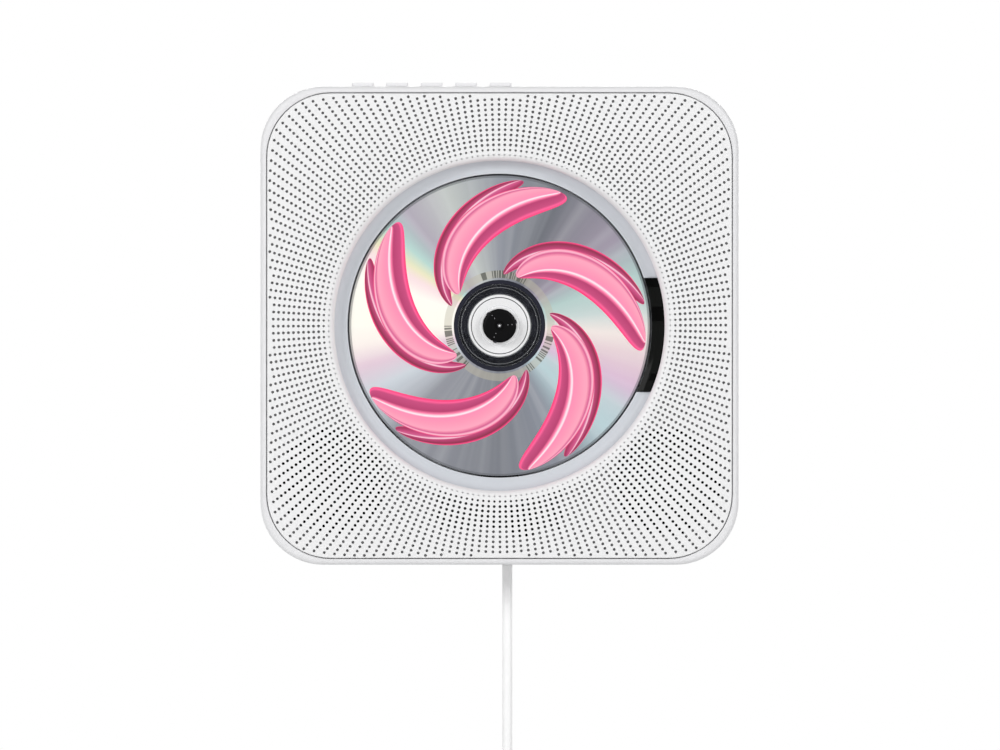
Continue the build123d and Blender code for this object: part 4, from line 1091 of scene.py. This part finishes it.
def discPrint():
    # silvered face with a painted fan of sheen and painted streak highlights, a painted dark reflection in
    # the mirror band, painted shade at the clear rim, a barcode ring and a printed pinwheel
    finish = Finish("discPrint", foil["colour"], foil["roughness"])
    x, z = finish.axes()
    radius = span(x, z)
    angle = z.apply("ARCTAN2", x) / (2 * pi) + 0.5
    paintedSheen = finish.add("ShaderNodeValToRGB", {"stops": paintedSheenStops}, {0: angle})
    line = {"noise_dimensions": "1D"}
    # bright streaks across the fan: painted highlights
    streaks = finish.add("ShaderNodeTexNoise", line, {"W": angle, "Scale": foil["streakCount"]})
    paintedStreaks = (streaks - foil["streakFrom"]).apply("MAXIMUM", 0.0) * foil["streaks"]
    ticks = finish.add("ShaderNodeTexWhiteNoise", line, {"W": (angle * foil["bars"]).apply("FLOOR")})
    inRing = (radius > foil["matrixInner"]) * (radius < foil["matrixOuter"])
    coded = ((angle * foil["barGroups"]).apply("FRACT") < foil["barFill"]) * inRing * (ticks > 0.5)
    # the silvered face's tone starts as the painted sheen
    silver = paintedSheen
    for share, shade in (
        (paintedStreaks, foil["streak"]), (inRing * foil["matrixShare"], foil["matrix"]),
        # the mirror band's dark navy is a painted reflection
        (coded * foil["barShare"], foil["bar"]), (radius < foil["mirrorInner"], foil["mirror"]),
        # past the silvered face: painted shade of the dark gap seen through the clear rim
        ((radius > disc["silverEnd"]) * foil["rimShadeShare"], foil["edge"]),
    ):
        silver = finish.blend(share, silver, shade)
    back, backShade = petals(finish, radius, angle, *petal["back"], deepPinks)
    face, faceShade = petals(finish, radius, angle, *petal["face"], brightPinks)
    finish.feed("Base Color", finish.blend(face, finish.blend(back, silver, backShade), faceShade))
    printed = back.apply("MAXIMUM", face)
    finish.feed("Metallic", (1 - printed) * foil["metallic"])
    finish.feed("Roughness", foil["roughness"] + printed * foil["inkRoughness"])


def petals(finish, radius, angle, start, breadth, stops):
    # curved petals: how far across a petal a point lies gives its shade
    across = ((angle + radius * petal["curl"]) * petal["count"] + start).apply("FRACT")
    out = (radius - petal["inner"]) / (petal["outer"] - petal["inner"])
    along = out.apply("MAXIMUM", 0.0).apply("MINIMUM", 1.0)
    swell = (along * pi).apply("SINE").apply("POWER", petal["bow"])
    share = (across - 0.5) / (swell * breadth).apply("MAXIMUM", 0.001)
    inside = (share > -1.0) * (share < 1.0) * (out > 0.0) * (out < 1.0)
    tone = share * 0.5 + 0.5 + (out - 0.5) * petal["lean"]
    return inside, finish.add("ShaderNodeValToRGB", {"stops": stops}, {0: tone})


def makeDisc():
    discClear()
    discPrint()
    low, top, edge, radius, bore = disc["back"], disc["top"], disc["edge"], disc["radius"], disc["bore"]
    clearEnd, foilEnd = disc["clearEnd"], disc["foilEnd"]
    ring, half, foot = disc["stackRing"], disc["stackHalf"], disc["stackFoot"]
    bottom = top - disc["stackDepth"]
    profile = [(bore + edge, low), (clearEnd, low), (foilEnd, low)]
    profile += quarter((radius - edge, low + edge), edge, -90, 0, 3)
    profile += quarter((radius - edge, top - edge), edge, 0, 90, 3)
    profile += [(foilEnd, top), (clearEnd, top), (ring + half, top), (ring + foot, bottom),
                (ring - foot, bottom), (ring - half, top)]
    profile += quarter((bore + edge, top - edge), edge, 90, 180, 3)
    profile += quarter((bore + edge, low + edge), edge, 180, 270, 3)[:-1]
    mesh = turned(profile, disc["steps"], disc["sharp"])
    for polygon in mesh.polygons:
        out = hypot(polygon.center.x, polygon.center.z) / mm
        polygon.material_index = int(clearEnd - 0.01 < out < foilEnd + 0.01)
    place("compactDisc", mesh, ["discClear", "discPrint"], "disc", "compact_disc")


makeDisc()
print("disc made")


# ports on the right side
port = {
    "usbLeft": 80.5, "usbRight": 94.7, "usbInside": 83.7, "back": 10.6, "usbHeight": 6.8, "usbHalf": 7.0,
    "shell": 0.7, "edge": 0.12, "tongueBack": 12.5, "tongue": 1.9, "tongueHalf": 5.7, "tongueShort": 1.0,
    "contacts": 4, "contactPitch": 2.3, "contactHalf": 0.45, "contactShort": 1.8,
    "contactDepths": (-0.05, 0.02),
}


def makePorts():
    z, edge = housing["usbZ"], port["edge"]
    left, right, inside = port["usbLeft"], port["usbRight"], port["usbInside"]
    back, front = port["back"], port["back"] + port["usbHeight"]
    half, clear = port["usbHalf"], port["usbHalf"] - port["shell"]
    box = blocks([((left, back, z - half), (right, front, z + half))])
    room = ((inside, back + port["shell"], z - clear), (right + spare, front - port["shell"], z + clear))
    socket = soften(cutMesh(box, blocks([room])), edge, 2)
    place("usbSocket", socket, "steel", "player", "usb_socket")
    low, high, half = port["tongueBack"], port["tongueBack"] + port["tongue"], port["tongueHalf"]
    tongue = blocks([((inside, low, z - half), (right - port["tongueShort"], high, z + half))])
    place("usbTongue", soften(tongue, edge, 2), "jackBlack", "player", "usb_socket", replaces=False)
    strips, half, end = [], port["contactHalf"], right - port["contactShort"]
    back, front = (low + shift for shift in port["contactDepths"])
    for index in range(port["contacts"]):
        middle = z + (index - (port["contacts"] - 1) / 2) * port["contactPitch"]
        strips.append(((inside, back, middle - half), (end, front, middle + half)))
    place("usbContacts", blocks(strips), "gold", "player", "usb_socket", replaces=False)
    for title, node in (("auxJack", "aux_jack"), ("headphoneJack", "headphone_jack")):
        place(title, cadShape(node, 30.0), "jackBlack", "player", node)


pickup = {"edge": 0.25, "lens": 2.2, "crown": 0.9, "steps": 48, "glass": (190, 205, 235), "roughness": 0.02,
          "ior": 1.6, "coating": ((120, 140, 190), (150, 120, 180)), "coatingScale": 300}


def makePickup():
    sled = soften(cadShape("pickup_sled", 30.0), pickup["edge"], 2)
    place("pickupSled", sled, "mechanismBlack", "pickup", "pickup_sled")
    lens = Finish("lensGlass", pickup["glass"], pickup["roughness"], IOR=pickup["ior"], Coat_Weight=1.0)
    lens.vary(pickup["coatingScale"], *pickup["coating"])
    low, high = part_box("pickup_lens")
    radius, crown, back = pickup["lens"], pickup["crown"], -high.y / mm
    foot = -low.y / mm - crown
    profile = [(0.0, back), (radius, back), (radius, foot)]
    profile += [(radius * cos(radians(a)), foot + crown * sin(radians(a))) for a in range(15, 91, 15)]
    mesh = turned(profile, pickup["steps"])
    mesh.transform(Matrix.Translation((0, 0, (low.z + high.z) / 2)))
    place("pickupLens", mesh, "lensGlass", "pickup", "pickup_lens")


spring = {"radius": 3.3, "wire": 0.3, "turns": 4, "steps": 24, "sides": 8, "travel": 4.0}


def makeSpring():
    # the coil rides with the slider and is squeezed against the guide's floor
    low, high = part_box("return_spring")
    wire, count = spring["wire"], spring["turns"] * spring["steps"]
    middle = (low + high) / 2 / mm
    start, end = low.z / mm + wire, high.z / mm - wire
    rim = [polar(wire, 2 * pi * side / spring["sides"]) for side in range(spring["sides"])]
    loops = []
    for step in range(count + 1):
        level, turn = start + (end - start) * step / count, 2 * pi * step / spring["steps"]
        loops.append([at(middle.x + (spring["radius"] + out) * cos(turn),
                         (spring["radius"] + out) * sin(turn) - middle.y, level + up) for out, up in rim])
    coil = place("returnSpring", lofted(loops), "steel", "pull", "return_spring")
    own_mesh(coil)


makePorts()
makePickup()
makeSpring()
print("ports, pickup and spring made")


# pull cord and its coil
cord = {
    "radius": 2.0, "x": 3.1, "depth": 17.2, "top": -81.2, "turnHeight": -182.5, "turnAngle": 36.0,
    "coilRadius": 22.0, "bundle": 7.3, "strandRing": 5.3, "firstStrand": 22.5, "turns": 7,
    "endAngle": 200.0, "plugStub": 24.0, "pointsPerTurn": 16, "straight": (-120.0, -168.0),
}
outerStrand = cord["coilRadius"] + cord["bundle"] - cord["radius"]


def coilPoint(angle, radius, side=0.0):
    turn = radians(cord["turnAngle"])
    centre = cord["turnHeight"] - outerStrand / tan(turn) * cos(turn) - outerStrand * sin(turn)
    across, up = polar(radius, radians(angle))
    return at(cord["x"] + across, cord["depth"] + side, centre + up)


def alongCoil(angle):
    return Vector((-sin(radians(angle)), 0, cos(radians(angle))))


def cordRoute():
    # straight down, round the coil's turns and out to the plug
    x, depth = cord["x"], cord["depth"]
    points = [at(x, depth, z) for z in (cord["top"], *cord["straight"], cord["turnHeight"])]
    start = 180 - cord["turnAngle"]
    travel = cord["turns"] * 360 + cord["endAngle"] - start
    count = round(travel / 360 * cord["pointsPerTurn"])
    for index in range(count + 1):
        share = index / count
        strand = radians(cord["firstStrand"] + (360 - 2 * cord["firstStrand"]) * share)
        inwards, side = polar(cord["strandRing"], strand)
        points.append(coilPoint(start + travel * share, cord["coilRadius"] + inwards, side))
    end = coilPoint(cord["endAngle"], outerStrand)
    stub = alongCoil(cord["endAngle"]) * cord["plugStub"]
    return points + [end + stub * 0.5 * mm, end + stub * mm]


def makeCord():
    curve = bpy.data.curves.new("pullCord", "CURVE")
    curve.dimensions = "3D"
    spline = curve.splines.new("NURBS")
    route = cordRoute()
    spline.points.add(len(route) - 1)
    for point, spot in zip(spline.points, route):
        point.co = (*spot, 1.0)
    spline.order_u = 3
    spline.use_endpoint_u = True
    spline.resolution_u = 6
    curve.bevel_depth = cord["radius"] * mm
    curve.bevel_resolution = 6
    curve.use_fill_caps = True
    curve.materials.append(bpy.data.materials["cordWhite"])
    piece = addObject("pullCord", curve)
    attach(piece, "pull")
    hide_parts("cord", "cord_coil")
    return piece, route[0]


# plug on the cord's end
plug = {
    "thickness": 8.0, "length": 34.0, "ribs": 4, "ribStart": 0.6, "ribPitch": 1.9, "ribRadius": 2.7,
    "ribGrowth": 0.35,
    # half width, half thickness, corner, and distance along the plug
    "neck": ((2.3, 2.3, 2.2, 0.0), (2.6, 2.6, 2.4, 0.3)),
    "grip": ((4.4, 3.3, 2.0, 8.6), (6.6, 3.8, 2.0, 9.6), (7.5, 3.85, 2.0, 11.0), (8.0, 4.0, 2.0, 13.0),
             (8.0, 4.0, 2.0, 33.2), (7.75, 3.75, 1.8, 33.8), (7.2, 3.2, 1.4, 34.0)),
    # a rib's steps: taken from its radius, share of the radius as corner, and distance
    "ribSteps": ((0.0, 0.8, 0.0), (0.0, 0.8, 1.1), (0.5, 0.7, 1.3), (0.4, 0.7, 1.7)),
    "dents": 5, "dentPitch": 2.2, "dentHalf": 4.2, "dentHeight": 0.45, "dentDepth": 0.35,
    "shellWidth": 12.0, "shellThickness": 4.5, "shellWall": 0.4,
    # taken from the shell's half sizes, corner, and distance past the grip
    "shellSteps": ((0.0, 0.5, 0.0), (0.0, 0.5, 11.9), (0.1, 0.45, 12.0), (0.4, 0.3, 11.95), (0.4, 0.3, 0.8)),
    "windowX": 2.9, "windowHalf": 1.1, "windowAlong": 6.2, "windowDepth": 0.2,
    "tongueGap": 0.1, "tongueHalf": 0.9, "tongueCorner": 0.2, "tongueDrop": 0.8, "tongueEnds": (0.8, 11.4),
    "sharp": 40.0,
}


def plugMatrix():
    # local z runs along the plug, local x across it in the coil's plane
    along = alongCoil(cord["endAngle"])
    origin = coilPoint(cord["endAngle"], outerStrand) + along * cord["plugStub"] * mm
    across = along.cross(Vector((0, 1, 0)))
    turn = Matrix((across, Vector(along).cross(across), along)).transposed().to_4x4()
    return Matrix.Translation(origin) @ turn


def plugLoop(halfWidth, halfThickness, corner, distance, side=0.0):
    outline = squareOutline(halfWidth, halfThickness, corner, 6)
    return [Vector((x, y, distance)) * mm - Vector((0, side * mm, 0)) for x, y in outline]


def plugCutter(openings, low, high):
    # blocks through both broad sides; an opening holds x, distance, half width and half height
    shape = bmesh.new()
    for side in (-1, 1):
        for x, distance, halfWidth, halfHeight in openings:
            loops = [[Vector((x + across, side * y, distance + along)) * mm
                      for across, along in rectangle(halfWidth, halfHeight)] for y in (low, high)]
            loftLoops(shape, loops, caps=True)
    return closeMesh(shape)


def plugPiece(name, loops, finish, slotName, cutter=None, replaces=True):
    mesh = lofted(loops, plug["sharp"])
    if cutter:
        mesh = cutMesh(mesh, cutter, plug["sharp"])
    mesh.transform(plugMatrix())
    return place(name, mesh, finish, "pull", slotName, replaces)


def makePlug():
    # a ribbed strain relief swells into the grip
    length, sizes = plug["length"], list(plug["neck"])
    for rib in range(plug["ribs"]):
        start, grow = plug["ribStart"] + rib * plug["ribPitch"], plug["ribRadius"] + rib * plug["ribGrowth"]
        sizes += [(grow - less, grow - less, grow * corner, start + along)
                  for less, corner, along in plug["ribSteps"]]
    sizes += plug["grip"]
    spots = [(0.0, length / 2 + index * plug["dentPitch"], plug["dentHalf"], plug["dentHeight"])
             for index in range(plug["dents"])]
    thick = plug["thickness"] / 2
    dents = plugCutter(spots, thick - plug["dentDepth"], thick + spare)
    grip = plugPiece("usbPlug", [plugLoop(*size) for size in sizes], "cordWhite", "usb_plug", dents)

    wide, thin, wall = plug["shellWidth"] / 2, plug["shellThickness"] / 2, plug["shellWall"]
    hole = plug["windowHalf"]
    loops = [plugLoop(wide - less, thin - less, corner, length + along)
             for less, corner, along in plug["shellSteps"]]
    spots = [(x, length + plug["windowAlong"], hole, hole) for x in (-plug["windowX"], plug["windowX"])]
    windows = plugCutter(spots, thin - wall - plug["windowDepth"], thin + spare)
    shell = plugPiece("plugShell", loops, "steel", "plug_shell", windows)

    flat = (wide - wall - plug["tongueGap"], plug["tongueHalf"], plug["tongueCorner"])
    loops = [plugLoop(*flat, length + along, plug["tongueDrop"]) for along in plug["tongueEnds"]]
    tongue = plugPiece("plugTongue", loops, "guideWhite", "plug_shell", replaces=False)
    return [grip, shell, tongue]


tie = {"width": 4.0, "thickness": 0.8, "facet": 7.5, "facets": 16, "steps": 48, "inside": 0.05, "edge": 0.2,
       "crown": 0.05, "outside": 0.1, "sharp": 50.0}


def makeTie():
    # a flat band closed round the bundle
    angle = 360 / tie["facets"] * tie["facet"]
    along, side = alongCoil(angle), Vector((0, 1, 0))
    out = Vector((cos(radians(angle)), 0, sin(radians(angle))))
    centre = coilPoint(angle, cord["coilRadius"])
    inner = cord["bundle"] + tie["inside"]
    outer = cord["bundle"] + tie["thickness"] - tie["outside"]
    half, edge, loops = tie["width"] / 2, tie["edge"], []
    for radius, shift in ((inner, -half), (outer, -half + edge), (outer + tie["crown"], 0.0),
                          (outer, half - edge), (inner, half)):
        ring = [polar(radius, 2 * pi * step / tie["steps"]) for step in range(tie["steps"])]
        loops.append([centre + (out * across + side * aside + along * shift) * mm for across, aside in ring])
    return place("cordTie", lofted(loops, tie["sharp"], closed=True), "tieBlack", "pull", "cord_tie")


pullCord, cordExit = makeCord()
ends = makePlug()
ends.append(makeTie())
print("cord made")


# finishes of the inner pieces
inside = {
    "boardGreen": ("display_board", "key_board", "main_board"),
    "jackBlack": ("display_module", "infrared_receiver", "key_switches", "board_chips", "micro_switch"),
    "mechanismBlack": ("mechanism_chassis", "speaker_frame_left", "speaker_frame_right"),
    "rubberBlack": ("isolation_bushes", "speaker_gaskets"), "clothBlack": ("speaker_cones",),
    "steel": ("spindle_motor", "sled_motor", "lead_screw", "wireless_module"), "chrome": ("guide_rods",),
    "magnetGrey": ("speaker_magnet_left", "speaker_magnet_right"), "canAluminium": ("capacitors",),
    "connectorCream": ("board_connectors",), "guideWhite": ("ribbon_cable", "switch_guide", "pull_slider"),
}
for finishName, nodeNames in inside.items():
    for nodeName in nodeNames:
        nodes[nodeName].data.materials.clear()
        nodes[nodeName].data.materials.append(bpy.data.materials[finishName])
print("inner pieces dressed")


# floor, lights and camera
stage = {"floorDrop": 0.004, "floorRadius": 2.2, "floor": (245, 245, 245), "glow": 0.96, "roughness": 0.9}
light = {
    "world": 0.33,
    # place in metres, side in metres, power in watts
    "lamps": {"key": ((-1.7, -1.9, 0.95), 1.0, 31.0), "fill": ((1.7, -1.9, 0.95), 1.0, 26.0),
              "back": ((0.0, 1.4, 0.4), 0.8, 8.0)},
}
view = {"distance": 12.0, "height": -0.0196, "across": 0.0002, "width": 0.3973, "sensor": 36.0}


def mirrorRays(graph):
    # 1 for what the camera, a mirror or glass sees
    seen = graph.add("ShaderNodeLightPath")
    mirrored = seen.apply("MAXIMUM", seen.other("Is Glossy Ray"))
    return mirrored.apply("MAXIMUM", seen.other("Is Transmission Ray"))


def whiteStage():
    # floor: mostly its own white to the camera, the rest takes the object's shadow
    finish = Finish("floorWhite", stage["floor"], stage["roughness"])
    glow = finish.add("ShaderNodeEmission", inputs={"Color": (1, 1, 1, 1), "Strength": 1.0})
    matte = Wire(finish, finish.shader.outputs[0])
    share = mirrorRays(finish) * stage["glow"]
    mixed = finish.add("ShaderNodeMixShader", inputs={0: share, 1: matte, 2: glow})
    # from below, the floor lets the view through
    under = finish.add("ShaderNodeNewGeometry", output="Backfacing")
    clear = finish.add("ShaderNodeBsdfTransparent")
    shown = finish.add("ShaderNodeMixShader", inputs={0: under, 1: mixed, 2: clear})
    finish.tree.links.new(shown.socket, finish.tree.nodes["Material Output"].inputs[0])
    return finish.material


def makeFloor():
    shape = bmesh.new()
    bmesh.ops.create_circle(shape, cap_ends=True, segments=64, radius=stage["floorRadius"])
    bmesh.ops.translate(shape, verts=shape.verts, vec=(0, 0, cadBox[0].z - stage["floorDrop"]))
    floor = addObject("floor", writeMesh(shape))
    floor.data.materials.append(whiteStage())


def makeLights():
    world = bpy.data.worlds.new("studio")
    bpy.context.scene.world = world
    world.use_nodes = True
    strength = mirrorRays(Graph(world.node_tree)) * (1 - light["world"]) + light["world"]
    background = world.node_tree.nodes["Background"]
    background.inputs["Color"].default_value = (1, 1, 1, 1)
    world.node_tree.links.new(strength.socket, background.inputs["Strength"])
    for name, (spot, size, power) in light["lamps"].items():
        data = bpy.data.lights.new(name, "AREA")
        data.shape = "SQUARE"
        data.size = size
        data.energy = power
        lamp = addObject(name, data)
        lamp.location = spot
        lamp.rotation_mode = "QUATERNION"
        lamp.rotation_quaternion = (-Vector(spot)).to_track_quat("-Z", "Y")


def makeCamera():
    data = bpy.data.cameras.new("camera")
    camera = addObject("camera", data)
    camera.location = (view["across"], -body["front"] * mm - view["distance"], view["height"])
    camera.rotation_euler = (pi / 2, 0, 0)
    data.sensor_width = view["sensor"]
    data.lens = view["sensor"] * view["distance"] / view["width"]
    bpy.context.scene.camera = camera


makeFloor()
makeLights()
makeCamera()
bpy.context.scene.view_settings.view_transform = "Standard"
print("stage set")
